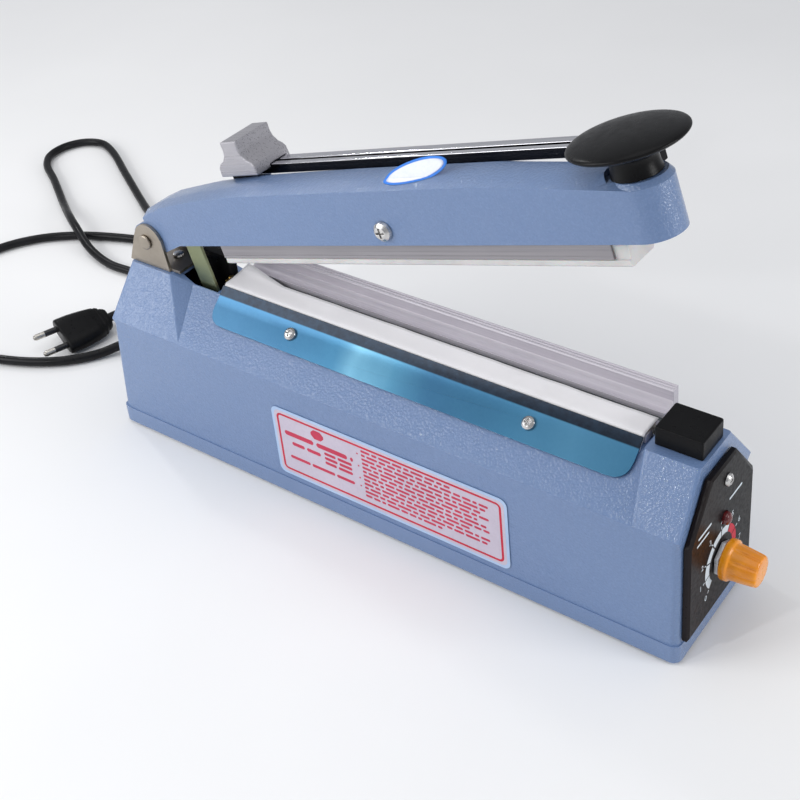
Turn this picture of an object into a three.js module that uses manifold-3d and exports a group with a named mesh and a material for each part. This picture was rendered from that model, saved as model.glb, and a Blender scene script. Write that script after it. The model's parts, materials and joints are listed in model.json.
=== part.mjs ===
// Hand impulse heat sealer with a sliding bag cutter, in millimetres, +Z up.
// X runs from the hinge end of the housing (0) to its control panel end, Y = 0 is the middle of the
// housing with the operator on the -Y side, and Z = 0 is the lower rim of the housing.
// The arm is drawn closed, as it lies on the sealing bar, and its group is then turned open.

import * as THREE from 'three';
import { ConvexGeometry } from 'three/addons/geometries/ConvexGeometry.js';
import { mergeVertices } from 'three/addons/utils/BufferGeometryUtils.js';
import Module from 'manifold-3d';

// ---- Driving dimensions ----

const HOUSING_LENGTH = 425;
const HOUSING_HALF = 42.8;
const RIM_PROUD = 0.6;
const RIM_HEIGHT = 12;
const END_SLOPE = 8.3;
const SHOULDER_Z = 87;
const WALL = 3;
const RIDGE_HALF = 11.5;
const RIDGE_Z = 112;
const TOWER_HALF = 18;
const TOWER_Z = 119;
const TOWER_X = [10.5, 46.5];
const TOWER_FOOT_X = 70;
const DECK_Z = 118.5;
const DECK_X = [391, 424];
const DECK_FOOT_X = 397;
const WELL_X = [47.5, 80];
const FOOT_PROUD = 1.5;
const GAP = 0.3;

const BAR_X = [84, 386.6];
const BAR_TOP = 116.9;
const BAR_FRONT = -7;
const BAR_BACK = 30.3;
const SEAL_Y = 1;
const SHEET_TOP = 118.5;

const HINGE_X = 26.3;
const HINGE_Z = 137.3;
const OPEN_ANGLE = 16.6;
const PIN_RADIUS = 4;
const EAR_INNER = 14;
const EAR_THICKNESS = 2;

const ARM_HALF = 16;
const ARM_BOTTOM = 134;
const ARM_WALL = 3;
const ARM_FLAT_HALF = 7;
const ARM_START = 52;
const ARM_END_X = 403.5;
const HUB_HALF = 13.6;
const HUB_RADIUS = 12.3;
const HUB_HOLLOW = 9.5;

const KNOB_X = 401.5;
const KNOB_BASE = 165.3;
const KNOB_RADIUS = 31.2;

const RAIL_X = [100, 396];
const RAIL_Y = [16.5, 31];
const RAIL_Z = [166.8, 173.4];
const CARRIAGE_X = 116.5;
const CARRIAGE_Y = [3.5, 34];
const CARRIAGE_BOTTOM = 171.7;
const CARRIAGE_TOP = 194.5;
const BLADE_Y = 22.6;

const PANEL_X = [425.3, 429];
const DIAL_Y = -1.2;
const DIAL_Z = 47.6;
const LAMP_Y = 2.5;
const LAMP_Z = 72.4;
const PANEL_SCREW_Y = 4;
const PANEL_SCREW_Z = 98.1;

const STRAP_Y = [-8, -6];
const STRAP_PIN_CLOSED = [61.1, 141];
const STRAP_PIN_HALF = 14.2;
const STRAP_LEAN = 17;
const SPRING_X = 84;
const SPRING_Y = -7;
const STRAP_FOOT_Z = 62;

const GROUND = -FOOT_PROUD;
const CORD_RADIUS = 3.5;
const GLAND_Y = 24;
const GLAND_Z = 12;

// ---- Materials ----

const paint = (color, roughness, metalness = 0) =>
  new THREE.MeshStandardMaterial({ color, roughness, metalness });

const MATERIALS = {
  enamel: paint(0x7f9bc6, 0.42),
  steel: paint(0xb4b6b8, 0.32, 1),
  zinc: paint(0x8d8574, 0.42, 1),
  passivated: paint(0x6f7a55, 0.4, 1),
  chrome: paint(0xd6d6d8, 0.12, 1),
  aluminium: paint(0xc3bfcd, 0.36, 1),
  film: paint(0x4f8fb5, 0.2, 0.9),
  ptfe: paint(0xf0eef0, 0.5),
  silicone: paint(0xd2cfc6, 0.5),
  tape: paint(0xd0a860, 0.6),
  nichrome: paint(0x8a8580, 0.4, 1),
  black: paint(0x0c0c0e, 0.45),
  panel: paint(0x101013, 0.3),
  rubber: paint(0x17171a, 0.8),
  castSilver: paint(0xa8a6ad, 0.4, 0.4),
  orange: paint(0xf28c10, 0.35),
  lens: paint(0x7a0d10, 0.2),
  brass: paint(0xb8963e, 0.35, 1),
  board: paint(0x1f5a38, 0.6),
  core: paint(0x4b4d52, 0.5, 0.8),
  winding: paint(0x8c4a1e, 0.45, 0.6),
  label: paint(0xd9dbe4, 0.45),
  cable: paint(0x0b0b0d, 0.5),
};

// ---- Solid helpers ----

const wasm = await Module();
wasm.setup();

function toSolid(geometry) {
  const bare = geometry.clone();
  bare.deleteAttribute('normal');
  bare.deleteAttribute('uv');
  const merged = mergeVertices(bare, 1e-4);
  const mesh = new wasm.Mesh({
    numProp: 3,
    vertProperties: new Float32Array(merged.attributes.position.array),
    triVerts: new Uint32Array(merged.index.array),
  });
  mesh.merge();
  return new wasm.Manifold(mesh);
}

function toGeometry(solid) {
  const mesh = solid.getMesh();
  const geometry = new THREE.BufferGeometry();
  geometry.setAttribute('position', new THREE.BufferAttribute(new Float32Array(mesh.vertProperties), 3));
  geometry.setIndex(new THREE.BufferAttribute(new Uint32Array(mesh.triVerts), 1));
  return geometry;
}

const join = (...parts) => toGeometry(parts.map(toSolid).reduce((sum, part) => sum.add(part)));
const cut = (body, ...tools) =>
  toGeometry(tools.map(toSolid).reduce((rest, tool) => rest.subtract(tool), toSolid(body)));
const common = (a, b) => toGeometry(toSolid(a).intersect(toSolid(b)));

function box([x0, x1], [y0, y1], [z0, z1]) {
  const geometry = new THREE.BoxGeometry(x1 - x0, y1 - y0, z1 - z0);
  return geometry.translate((x0 + x1) / 2, (y0 + y1) / 2, (z0 + z1) / 2);
}

const hull = (points) => new ConvexGeometry(points.map(([x, y, z]) => new THREE.Vector3(x, y, z)));

// A rounded rectangle of points at one height.
function ring(x0, x1, half, radius, z, steps = 3) {
  const corners = [
    [x1 - radius, half - radius, 0],
    [x0 + radius, half - radius, 90],
    [x0 + radius, radius - half, 180],
    [x1 - radius, radius - half, 270],
  ];
  return corners.flatMap(([cx, cy, start]) =>
    Array.from({ length: steps + 1 }, (_, i) => {
      const angle = THREE.MathUtils.degToRad(start + (90 * i) / steps);
      return [cx + radius * Math.cos(angle), cy + radius * Math.sin(angle), z];
    }));
}

// A cylinder along x, y or z between two stations, centred on the two other coordinates in order.
function rod(axis, [from, to], [u, v], radius, sides = 24, endRadius = radius) {
  const geometry = new THREE.CylinderGeometry(endRadius, radius, to - from, sides);
  const middle = (from + to) / 2;
  if (axis === 'x') return geometry.rotateZ(-Math.PI / 2).translate(middle, u, v);
  if (axis === 'y') return geometry.translate(u, middle, v);
  return geometry.rotateX(Math.PI / 2).translate(u, v, middle);
}

// A turned solid about x, y or z. Its profile is a list of [radius, station along the axis].
function turned(axis, profile, [u, v], sides = 32) {
  const outline = profile.map(([r, h]) => new THREE.Vector2(r, h));
  const geometry = new THREE.LatheGeometry(outline, sides);
  if (axis === 'x') return geometry.rotateZ(-Math.PI / 2).translate(0, u, v);
  if (axis === 'y') return geometry.translate(u, 0, v);
  return geometry.rotateX(Math.PI / 2).translate(u, v, 0);
}

function shapeOf(points) {
  return new THREE.Shape(points.map(([a, b]) => new THREE.Vector2(a, b)));
}

const flat = (shape, depth) =>
  new THREE.ExtrudeGeometry(shape, { depth, bevelEnabled: false, curveSegments: 5 });

// An outline in the XZ plane, drawn out along Y.
function prismY(shape, [y0, y1]) {
  return flat(shape, y1 - y0).rotateX(Math.PI / 2).translate(0, y1, 0);
}

// An outline in the YZ plane, drawn out along X.
function prismX(shape, [x0, x1]) {
  const turn = new THREE.Matrix4().set(0, 0, 1, x0, 1, 0, 0, 0, 0, 1, 0, 0, 0, 0, 0, 1);
  return flat(shape, x1 - x0).applyMatrix4(turn);
}

// An outline in the XY plane, drawn out along Z.
const prismZ = (shape, [z0, z1]) => flat(shape, z1 - z0).translate(0, 0, z0);

// A solid skinned over a row of equally long convex rings, with flat ends.
function loft(rings) {
  const size = rings[0].length;
  const positions = rings.flat(2);
  const index = [];
  for (let r = 0; r + 1 < rings.length; r += 1) {
    for (let i = 0; i < size; i += 1) {
      const a = r * size + i;
      const b = r * size + ((i + 1) % size);
      index.push(a, b + size, b, a, a + size, b + size);
    }
  }
  const last = (rings.length - 1) * size;
  for (let i = 1; i + 1 < size; i += 1) {
    index.push(0, i, i + 1);
    index.push(last, last + i + 1, last + i);
  }
  const geometry = new THREE.BufferGeometry();
  geometry.setAttribute('position', new THREE.Float32BufferAttribute(positions, 3));
  geometry.setIndex(index);
  return geometry;
}

// A strip of even thickness that follows a broken line in the YZ plane.
function bentStrip(points, thickness) {
  const line = points.map(([y, z]) => new THREE.Vector2(y, z));
  const side = (sign) => line.map((point, i) => {
    const before = line[Math.max(i - 1, 0)];
    const after = line[Math.min(i + 1, line.length - 1)];
    const inward = point.clone().sub(before).normalize();
    const outward = after.clone().sub(point).normalize();
    const along = inward.add(outward).normalize();
    const across = new THREE.Vector2(-along.y, along.x);
    return point.clone().addScaledVector(across, (sign * thickness) / 2);
  });
  return new THREE.Shape([...side(1), ...side(-1).reverse()]);
}

function tube(points, radius, sides, steps) {
  const path = new THREE.CatmullRomCurve3(points.map(([x, y, z]) => new THREE.Vector3(x, y, z)));
  const section = new THREE.Shape();
  section.absarc(0, 0, radius, 0, 2 * Math.PI);
  const settings = { steps, extrudePath: path, curveSegments: sides / 2, bevelEnabled: false };
  return new THREE.ExtrudeGeometry(section, settings);
}

function piece(group, name, geometry, material) {
  const mesh = new THREE.Mesh(geometry, material);
  mesh.name = name;
  group.add(mesh);
}

// ---- Housing ----

// The outer form of the housing, or with an inset the hollow inside its walls.
function housingForm(inset) {
  const half = HOUSING_HALF - inset;
  const right = HOUSING_LENGTH - inset;
  const corner = Math.max(5 - inset, 2);
  const drop = inset / 2;
  const low = inset > 0 ? -5 : RIM_HEIGHT - 1;
  const foot = ring(END_SLOPE + inset + 6, right - 6, half - 6, corner, SHOULDER_Z - 30);
  const shoulder = SHOULDER_Z - drop;
  const body = hull([
    ...ring(1 + inset, right, half, corner, low),
    ...ring(END_SLOPE + inset, right, half, corner, shoulder),
  ]);
  const ridge = hull([
    ...foot,
    ...ring(END_SLOPE + inset, right, half, corner, shoulder),
    ...ring(TOWER_X[0] + inset + 4, right - 4, RIDGE_HALF - drop, 2, RIDGE_Z - inset),
  ]);
  const towerTop = TOWER_Z - inset;
  const tower = hull([
    ...ring(END_SLOPE + inset + 6, TOWER_FOOT_X - 8, half - 6, 3, SHOULDER_Z - 30),
    ...ring(END_SLOPE + inset, TOWER_FOOT_X - inset, half, 0.8, shoulder, 1),
    ...ring(TOWER_X[0] + inset, TOWER_X[1] - inset, TOWER_HALF - drop, 1.5, towerTop),
    ...ring(50, 59.7 - inset, RIDGE_HALF - drop, 0.8, RIDGE_Z - inset, 1),
  ]);
  const deck = hull([
    ...ring(DECK_FOOT_X + 8, right - 6, half - 6, 3, SHOULDER_Z - 30),
    ...ring(DECK_FOOT_X + inset, right, half, 0.8, shoulder, 1),
    ...ring(DECK_X[0] + inset, DECK_X[1] - drop, TOWER_HALF - drop, 2, DECK_Z - inset),
  ]);
  return join(body, ridge, tower, deck);
}

const BOSS_X = [18, 405];
const BOSS_Y = 29;
const cornerPlaces = BOSS_X.flatMap((x) => [-BOSS_Y, BOSS_Y].map((y) => [x, y]));
const BASE_PLATE_Z = [1.5, 3];

function housing() {
  const rim = hull([
    ...ring(-RIM_PROUD, HOUSING_LENGTH + RIM_PROUD, HOUSING_HALF + RIM_PROUD, 5, 0),
    ...ring(-RIM_PROUD, HOUSING_LENGTH + RIM_PROUD, HOUSING_HALF + RIM_PROUD, 5, RIM_HEIGHT),
  ]);
  const shell = cut(join(rim, housingForm(0)), housingForm(WALL));
  const bosses = cornerPlaces.map(([x, y]) => {
    const outward = Math.sign(y) * (HOUSING_HALF - 1);
    const inward = y - Math.sign(y) * 5;
    const side = [Math.min(outward, inward), Math.max(outward, inward)];
    return box([x - 7, x + 7], side, [BASE_PLATE_Z[1] + GAP, 40]);
  });
  const pilots = cornerPlaces.map(([x, y]) => rod('z', [0, 22], [x, y], 1.9, 12));
  const well = box(WELL_X, [-RIDGE_HALF + 0.8, RIDGE_HALF - 0.8], [90, 130]);
  const wallAtPanel = [HOUSING_LENGTH - WALL - 2, HOUSING_LENGTH + 1];
  const potHole = rod('x', wallAtPanel, [DIAL_Y, DIAL_Z], 5);
  const lampHole = rod('x', wallAtPanel, [LAMP_Y, LAMP_Z], 3.6);
  const screwHole = rod('x', wallAtPanel, [PANEL_SCREW_Y, PANEL_SCREW_Z], 1.9, 12);
  const glandHole = rod('x', [-2, 12], [GLAND_Y, GLAND_Z], 6.3);
  const clampHoles = CLAMP_SCREW_X.map((x) => placeOnSlope(rod('z', [-4, 4], [0, 0], 1.9, 12), x));
  const bracketHoles = BRACKET_SCREW_X.map((x) => rod('z', [110, 122], [x, 0], 2.4, 12));
  const leadHoles = LEAD_X.map((x) => rod('z', [100, 122], [x, LEAD_Y], 2.4, 12));
  return cut(
    join(shell, ...bosses), ...pilots, well, potHole, lampHole, screwHole, glandHole,
    ...clampHoles, ...bracketHoles, ...leadHoles,
  );
}

function basePlate() {
  const outline = ring(5, HOUSING_LENGTH - 4, HOUSING_HALF - WALL - 0.5, 4, 0).map(([x, y]) => [x, y]);
  const plate = prismZ(shapeOf(outline), BASE_PLATE_Z);
  const holes = cornerPlaces.map(([x, y]) => rod('z', [0, 5], [x, y], 1.9, 12));
  return cut(plate, ...holes);
}

function foot([x, y]) {
  const top = BASE_PLATE_Z[0] - GAP;
  return turned('z', [[4, GROUND], [8.4, GROUND], [9, GROUND + 0.8], [9, top], [2, top], [2, 0.2], [4, 0.2],
    [4, GROUND]], [x, y], 16);
}

function baseScrew([x, y]) {
  return turned('z', [[0, -1.2], [2.6, -1.2], [3.4, -0.5], [3.4, -0.1], [1.5, -0.1], [1.5, 16], [0, 17.5]],
    [x, y], 16);
}

// ---- Hinge bracket and pin ----

const BRACKET_SCREW_X = [16, 37];

function hingeBracket() {
  const ear = new THREE.Shape();
  const seat = TOWER_Z + GAP;
  ear.moveTo(8, seat);
  ear.lineTo(44, seat);
  ear.lineTo(40.6, 142);
  ear.absarc(28.6, 138.4, 12, 0.3, 2.55, false);
  ear.lineTo(16.2, 140);
  const ears = [-1, 1].map((side) => {
    const span = [side * EAR_INNER, side * (EAR_INNER + EAR_THICKNESS)].sort((a, b) => a - b);
    return prismY(ear, span);
  });
  const web = box([10, 52], [-EAR_INNER - 0.5, EAR_INNER + 0.5], [seat, seat + EAR_THICKNESS]);
  const pinHole = rod('y', [-20, 20], [HINGE_X, HINGE_Z], PIN_RADIUS + GAP);
  const screwHoles = BRACKET_SCREW_X.map((x) => rod('z', [110, 125], [x, 0], 2.4, 12));
  return cut(join(...ears, web), pinHole, ...screwHoles);
}

function hingePin() {
  const out = EAR_INNER + EAR_THICKNESS + GAP;
  return turned('y', [[0, -out - 2], [3.5, -out - 2], [5.1, -out - 1.1], [5.1, -out], [PIN_RADIUS, -out],
    [PIN_RADIUS, out], [5.1, out], [5.1, out + 1.1], [3.5, out + 2], [0, out + 2]], [HINGE_X, HINGE_Z], 24);
}

function bracketScrew(x) {
  const top = TOWER_Z + GAP + EAR_THICKNESS + GAP;
  return turned('z', [[0, top - 3.5], [2.1, top - 3.5], [2.1, top], [4, top], [3.6, top + 1.6], [0, top + 2]],
    [x, 0], 16);
}

// ---- Sealing bar ----

function sealingBar() {
  const bar = new THREE.Shape();
  const floor = RIDGE_Z + 0.4;
  bar.moveTo(BAR_FRONT, floor);
  bar.lineTo(BAR_FRONT, BAR_TOP - 1.5);
  bar.quadraticCurveTo(BAR_FRONT, BAR_TOP, BAR_FRONT + 1.5, BAR_TOP);
  bar.lineTo(8.6, BAR_TOP);
  bar.lineTo(8.6, BAR_TOP - 1.9);
  bar.lineTo(13.6, BAR_TOP - 1.9);
  bar.lineTo(13.6, BAR_TOP + 1.4);
  bar.quadraticCurveTo(19.5, BAR_TOP - 2.6, 24.4, BAR_TOP + 2.4);
  bar.lineTo(24.4, 125.6);
  bar.lineTo(25.2, 126.4);
  for (const y of [26.2, 28.4]) {
    bar.lineTo(y, 126.4);
    bar.lineTo(y + 0.3, 125.7);
    bar.lineTo(y + 0.7, 125.7);
    bar.lineTo(y + 1, 126.4);
  }
  bar.lineTo(BAR_BACK, 126.4);
  bar.lineTo(BAR_BACK, 97.6);
  bar.lineTo(BAR_BACK - 3, 100);
  bar.lineTo(BAR_BACK - 3, floor);
  return prismX(bar, BAR_X);
}

const layer = (y, low) => box([BAR_X[0] + 1, BAR_X[1] - 1], y, [low, low + 0.25]);

// The heating ribbon runs the length of the bar and folds down at both ends to its terminals.
function heatingElement() {
  const low = BAR_TOP + 0.8;
  const flatRun = box([BAR_X[0] - 1.2, BAR_X[1] + 1.2], [SEAL_Y - 2.5, SEAL_Y + 2.5], [low, low + 0.25]);
  const tails = [BAR_X[0] - 1.2, BAR_X[1] + 0.8].map((x) =>
    box([x, x + 0.4], [SEAL_Y - 2.5, SEAL_Y + 2.5], [low - 3.4, low + 0.25]));
  return join(flatRun, ...tails);
}

// A brass terminal past each end of the bar, with a small screw against the ribbon's tail.
const TERMINAL_X = [80.1, 388.2];
const TERMINAL_WIDTH = 2.3;

function terminal(x0) {
  const low = RIDGE_Z + 0.4;
  const post = box([x0, x0 + TERMINAL_WIDTH], [SEAL_Y - 3.5, SEAL_Y + 3.5], [low, low + 4.4]);
  const screw = rod('z', [low + 4, low + 5.6], [x0 + TERMINAL_WIDTH / 2, SEAL_Y], 1.1, 12);
  return join(post, screw);
}

// A black block stands in the well behind the strap. The ribbon's lead passes down through it.
function terminalBlock() {
  const y = [3.6, RIDGE_HALF - 1.1];
  const x1 = WELL_X[1] - GAP;
  return join(box([WELL_X[0] + GAP, x1], y, [92, 117.5]), box([56, x1], y, [110, 130]));
}

const SLOPE = new THREE.Vector2(HOUSING_HALF - RIDGE_HALF, RIDGE_Z - SHOULDER_Z);
const SLOPE_ANGLE = Math.atan2(SLOPE.y, SLOPE.x);
const CLAMP_SCREW_X = [148.5, 321];
const CLAMP_SCREW_RUN = 8.6;

// A point on the front slope: a distance down it from its top edge, and a height out from it.
function onSlope(run, lift) {
  const y = -RIDGE_HALF - run * Math.cos(SLOPE_ANGLE) - lift * Math.sin(SLOPE_ANGLE);
  const z = RIDGE_Z - run * Math.sin(SLOPE_ANGLE) + lift * Math.cos(SLOPE_ANGLE);
  return [y, z];
}

function placeOnSlope(geometry, x) {
  const [y, z] = onSlope(CLAMP_SCREW_RUN, 0);
  return geometry.rotateX(SLOPE_ANGLE).translate(x, y, z);
}

function ptfeSheet() {
  const line = [[8.6, SHEET_TOP - 0.15], [-6, SHEET_TOP - 0.15], [-7.45, 117.6], [-7.8, 116.9], [-11.7, 112.55],
    onSlope(2, 0.5), onSlope(17, 0.5)];
  const holes = CLAMP_SCREW_X.map((x) => placeOnSlope(rod('z', [-4, 6], [0, 0], 1.9, 12), x));
  return cut(prismX(bentStrip(line, 0.3), [BAR_X[0] + 0.6, BAR_X[1] - 0.6]), ...holes);
}

const CLAMP_X = [84.6, 386.2];
const CLAMP_RUN = 20;

function clampPlate() {
  const line = [onSlope(CLAMP_RUN, 1.5), onSlope(1.6, 1.5), [-8.7, 117.7]];
  const sheet = prismX(bentStrip(line, 1), CLAMP_X);
  const corner = 12;
  const outline = new THREE.Shape();
  outline.moveTo(CLAMP_X[0] - 1, 12);
  outline.lineTo(CLAMP_X[1] + 1, 12);
  outline.lineTo(CLAMP_X[1], 0);
  outline.lineTo(CLAMP_X[1], corner - CLAMP_RUN);
  outline.quadraticCurveTo(CLAMP_X[1], -CLAMP_RUN, CLAMP_X[1] - corner, -CLAMP_RUN);
  outline.lineTo(CLAMP_X[0] + corner, -CLAMP_RUN);
  outline.quadraticCurveTo(CLAMP_X[0], -CLAMP_RUN, CLAMP_X[0], corner - CLAMP_RUN);
  outline.lineTo(CLAMP_X[0], 0);
  const stamp = prismZ(outline, [-5, 9]).rotateX(SLOPE_ANGLE).translate(0, -RIDGE_HALF, RIDGE_Z);
  const holes = CLAMP_SCREW_X.map((x) => placeOnSlope(rod('z', [-4, 6], [0, 0], 1.9, 12), x));
  return cut(common(sheet, stamp), ...holes);
}

// A pan-head screw along +Z with the underside of its head at z = 0, cross recess included.
function panScrew(headRadius, shankRadius, length) {
  const headHeight = headRadius * 0.55;
  const body = turned('z', [[0, -length], [shankRadius, 0.6 - length], [shankRadius, 0], [headRadius, 0],
    [headRadius * 0.92, headHeight * 0.55], [headRadius * 0.6, headHeight], [0, headHeight * 1.08]], [0, 0], 16);
  const arm = headRadius * 0.5;
  const slit = headRadius * 0.1;
  const depth = [headHeight * 0.45, headHeight * 2];
  return cut(body, box([-arm, arm], [-slit, slit], depth), box([-slit, slit], [-arm, arm], depth));
}

const clampScrew = (x) => placeOnSlope(panScrew(4.3, 1.5, 7).translate(0, 0, 2.3), x);

const END_BLOCK_X = [394.2, 422.1];

function endBlock() {
  const low = DECK_Z + GAP;
  return hull([
    ...ring(END_BLOCK_X[0], END_BLOCK_X[1], 12.1, 1, low),
    ...ring(END_BLOCK_X[0], END_BLOCK_X[1], 12.1, 1, low + 11.2),
    ...ring(END_BLOCK_X[0] + 0.6, END_BLOCK_X[1] - 0.6, 11.5, 1, low + 11.8),
  ]);
}

// ---- Control panel ----

function controlPanel() {
  const corners = [[-38.3, 14.8], [38.3, 14.8], [38.3, 81.5], [15.2, 110.7], [-15.2, 110.7], [-38.3, 81.5]];
  const inset = 1.6;
  const centre = [0, 60];
  const shrink = ([y, z]) => [y - Math.sign(y) * inset, z + Math.sign(centre[1] - z) * inset];
  const face = corners.map(([y, z]) => [PANEL_X[0], y, z]);
  const edge = corners.map(([y, z]) => [PANEL_X[1] - 1, y, z]);
  const front = corners.map(shrink).map(([y, z]) => [PANEL_X[1], y, z]);
  const through = [PANEL_X[0] - 1, PANEL_X[1] + 1];
  return cut(
    hull([...face, ...edge, ...front]),
    rod('x', through, [DIAL_Y, DIAL_Z], 5),
    rod('x', through, [LAMP_Y, LAMP_Z], 4.4),
    rod('x', through, [PANEL_SCREW_Y, PANEL_SCREW_Z], 1.9, 12),
  );
}

function panelScrew() {
  return panScrew(3.9, 1.5, 10).rotateY(Math.PI / 2)
    .translate(PANEL_X[1] + GAP, PANEL_SCREW_Y, PANEL_SCREW_Z);
}

function indicatorLamp() {
  return turned('x', [[0, 410], [3.2, 410], [3.2, 424.9], [4, 425.6], [4, 430], [3.4, 431.6], [1.8, 432.6],
    [0, 433]], [LAMP_Y, LAMP_Z], 16);
}

function potentiometer() {
  const inner = HOUSING_LENGTH - WALL - GAP;
  return turned('x', [[3.3, inner - 10], [12, inner - 10], [12, inner - 1], [11, inner], [4.6, inner],
    [4.6, 431.6], [3.3, 431.6], [3.3, inner - 10]], [DIAL_Y, DIAL_Z], 20);
}

function potNut() {
  const nut = rod('x', [PANEL_X[1] + GAP, PANEL_X[1] + 2.9], [DIAL_Y, DIAL_Z], 10.4, 6);
  return cut(nut, rod('x', [420, 440], [DIAL_Y, DIAL_Z], 4.9));
}

const potShaft = () => rod('x', [416, 447], [DIAL_Y, DIAL_Z], 3);

function timerKnob() {
  return turned('x', [[3.3, 432.4], [11.4, 432.4], [11.9, 433], [11.9, 436.4], [11.2, 437.2], [10.5, 437.4],
    [9, 451.2], [8.2, 452.6], [6.6, 453.2], [0, 453.2], [0, 447.4], [3.3, 447.4], [3.3, 432.4]],
    [DIAL_Y, DIAL_Z], 24);
}

function labelPlate() {
  const label = new THREE.Shape();
  const [x0, x1, z0, z1, r] = [145.5, 319.5, 16.3, 69, 5];
  label.moveTo(x0 + r, z0);
  label.lineTo(x1 - r, z0);
  label.absarc(x1 - r, z0 + r, r, -Math.PI / 2, 0, false);
  label.absarc(x1 - r, z1 - r, r, 0, Math.PI / 2, false);
  label.absarc(x0 + r, z1 - r, r, Math.PI / 2, Math.PI, false);
  label.absarc(x0 + r, z0 + r, r, Math.PI, 1.5 * Math.PI, false);
  return prismY(label, [-HOUSING_HALF - 0.6, -HOUSING_HALF - 0.3]);
}

// ---- Inside the housing ----

const LEAD_X = [77.5, 391];
const LEAD_Y = 6.2;

function transformerCore() {
  const outer = box([196, 266], [-24, 24], [BASE_PLATE_Z[1] + GAP, 63]);
  const windows = [[208, 221], [241, 254]].map((x) => box(x, [-30, 30], [15, 51]));
  return cut(outer, ...windows);
}

function transformerCoil() {
  const outer = box([208.5, 253.5], [-33, 33], [15.5, 50.5]);
  return cut(outer, box([220.6, 241.4], [-24.6, 24.6], [10, 60]));
}

function timerBoard() {
  const board = box([318, 396], [-30, 30], [9, 10.6]);
  const capacitor = turned('z', [[0, 10], [8, 10], [8, 33], [7.2, 34], [0, 34]], [334, 14], 20);
  const relay = box([352, 371], [2, 18], [10, 27]);
  const heatSink = box([378, 381], [-24, 4], [10, 34]);
  const standoffs = [[322, -26], [322, 26], [392, -26], [392, 26]].map(([x, y]) =>
    rod('z', [BASE_PLATE_Z[1] + GAP, 10], [x, y], 3, 12));
  return join(board, capacitor, relay, heatSink, ...standoffs);
}

const SWITCH_PIVOT = [123.5, 56.9];

function microswitch() {
  const body = box([121, 149], [-13, -1], [36, 54]);
  const foot = box([123, 147], [-13, -1], [BASE_PLATE_Z[1] + GAP, 36.5]);
  const pivotPost = box([121, 126], [-13, -10.6], [50, 59]);
  const otherPost = box([121, 126], [-3.4, -1], [50, 59]);
  const pin = rod('y', [-11, -3], [SWITCH_PIVOT[0], SWITCH_PIVOT[1]], 0.8, 10);
  return join(body, foot, pivotPost, otherPost, pin);
}

function switchLever() {
  const blade = box([92, 124.5], [-10, -4], [58.8, 59.5]);
  const hub = rod('y', [-10, -4], [SWITCH_PIVOT[0], SWITCH_PIVOT[1]], 2.6, 16);
  const bore = rod('y', [-12, -2], [SWITCH_PIVOT[0], SWITCH_PIVOT[1]], 1.1, 12);
  return cut(join(blade, hub), bore);
}

function springCoil() {
  const radius = 6;
  const low = BASE_PLATE_Z[1] + GAP + 0.8;
  const high = STRAP_FOOT_Z - 3.1;
  const turns = 9;
  const perTurn = 10;
  const points = Array.from({ length: turns * perTurn + 1 }, (_, i) => {
    const angle = (2 * Math.PI * i) / perTurn;
    const rise = low + ((high - low) * i) / (turns * perTurn);
    return [SPRING_X + radius * Math.cos(angle), SPRING_Y + radius * Math.sin(angle), rise];
  });
  return tube(points, 0.7, 6, turns * perTurn);
}

// The strap hangs from the arm, leans toward the bar and ends in a foot that sits on the spring.
function linkStrap(pin) {
  const lean = Math.tan(THREE.MathUtils.degToRad(STRAP_LEAN));
  const [px, pz] = pin;
  const half = 7;
  const lowX = px + (pz - STRAP_FOOT_Z) * lean;
  const side = new THREE.Shape();
  side.moveTo(lowX - half, STRAP_FOOT_Z - 2);
  side.lineTo(lowX + half, STRAP_FOOT_Z - 2);
  side.lineTo(px + half, pz);
  side.absarc(px, pz, half, 0, Math.PI, false);
  const blade = prismY(side, STRAP_Y);
  const foot = box([lowX - 8, lowX + 14], [STRAP_Y[0] - 6, STRAP_Y[1] + 6], [STRAP_FOOT_Z - 2, STRAP_FOOT_Z]);
  return cut(join(blade, foot), rod('y', [-12, 0], pin, 2.3, 16));
}

// ---- Arm ----

// Stations along the closed arm: x, height of the side edge, height of the flat top.
const ARM_STATIONS = [
  [14, 144, 149], [30, 152.3, 156.9], [37, 155, 159.2], [52, 160.6, 163], [84, 164.3, 166.9],
  [126, 166.8, 169.8], [209, 167.6, 171.3], [311, 167.6, 171.3], [383, 163.6, 168.2], [ARM_END_X, 162.4, 166],
];

function armSection(x, half, low, side, top, flatHalf) {
  return [[x, -half, low], [x, -half, side], [x, -flatHalf, top], [x, flatHalf, top], [x, half, side],
    [x, half, low]];
}

function armBody(inset, from) {
  const half = ARM_HALF - inset;
  const low = inset > 0 ? ARM_BOTTOM - 20 : ARM_BOTTOM;
  const rings = ARM_STATIONS.filter(([x]) => x >= from)
    .map(([x, side, top]) => armSection(x, half, low, side - inset, top - inset, ARM_FLAT_HALF));
  return loft(rings);
}

function hub(half) {
  const outline = [];
  for (let degrees = 100; degrees <= 300; degrees += 20) {
    const angle = THREE.MathUtils.degToRad(degrees);
    outline.push([HINGE_X + HUB_RADIUS * Math.cos(angle), HINGE_Z + HUB_RADIUS * Math.sin(angle)]);
  }
  outline.push([60, ARM_BOTTOM], [60, 158]);
  return hull(outline.flatMap(([x, z]) => [[x, -half, z], [x, half, z]]));
}

const ARM_RIBS = [132, 239.7, 352];
const ARM_SCREW_Z = 143.2;

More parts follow.
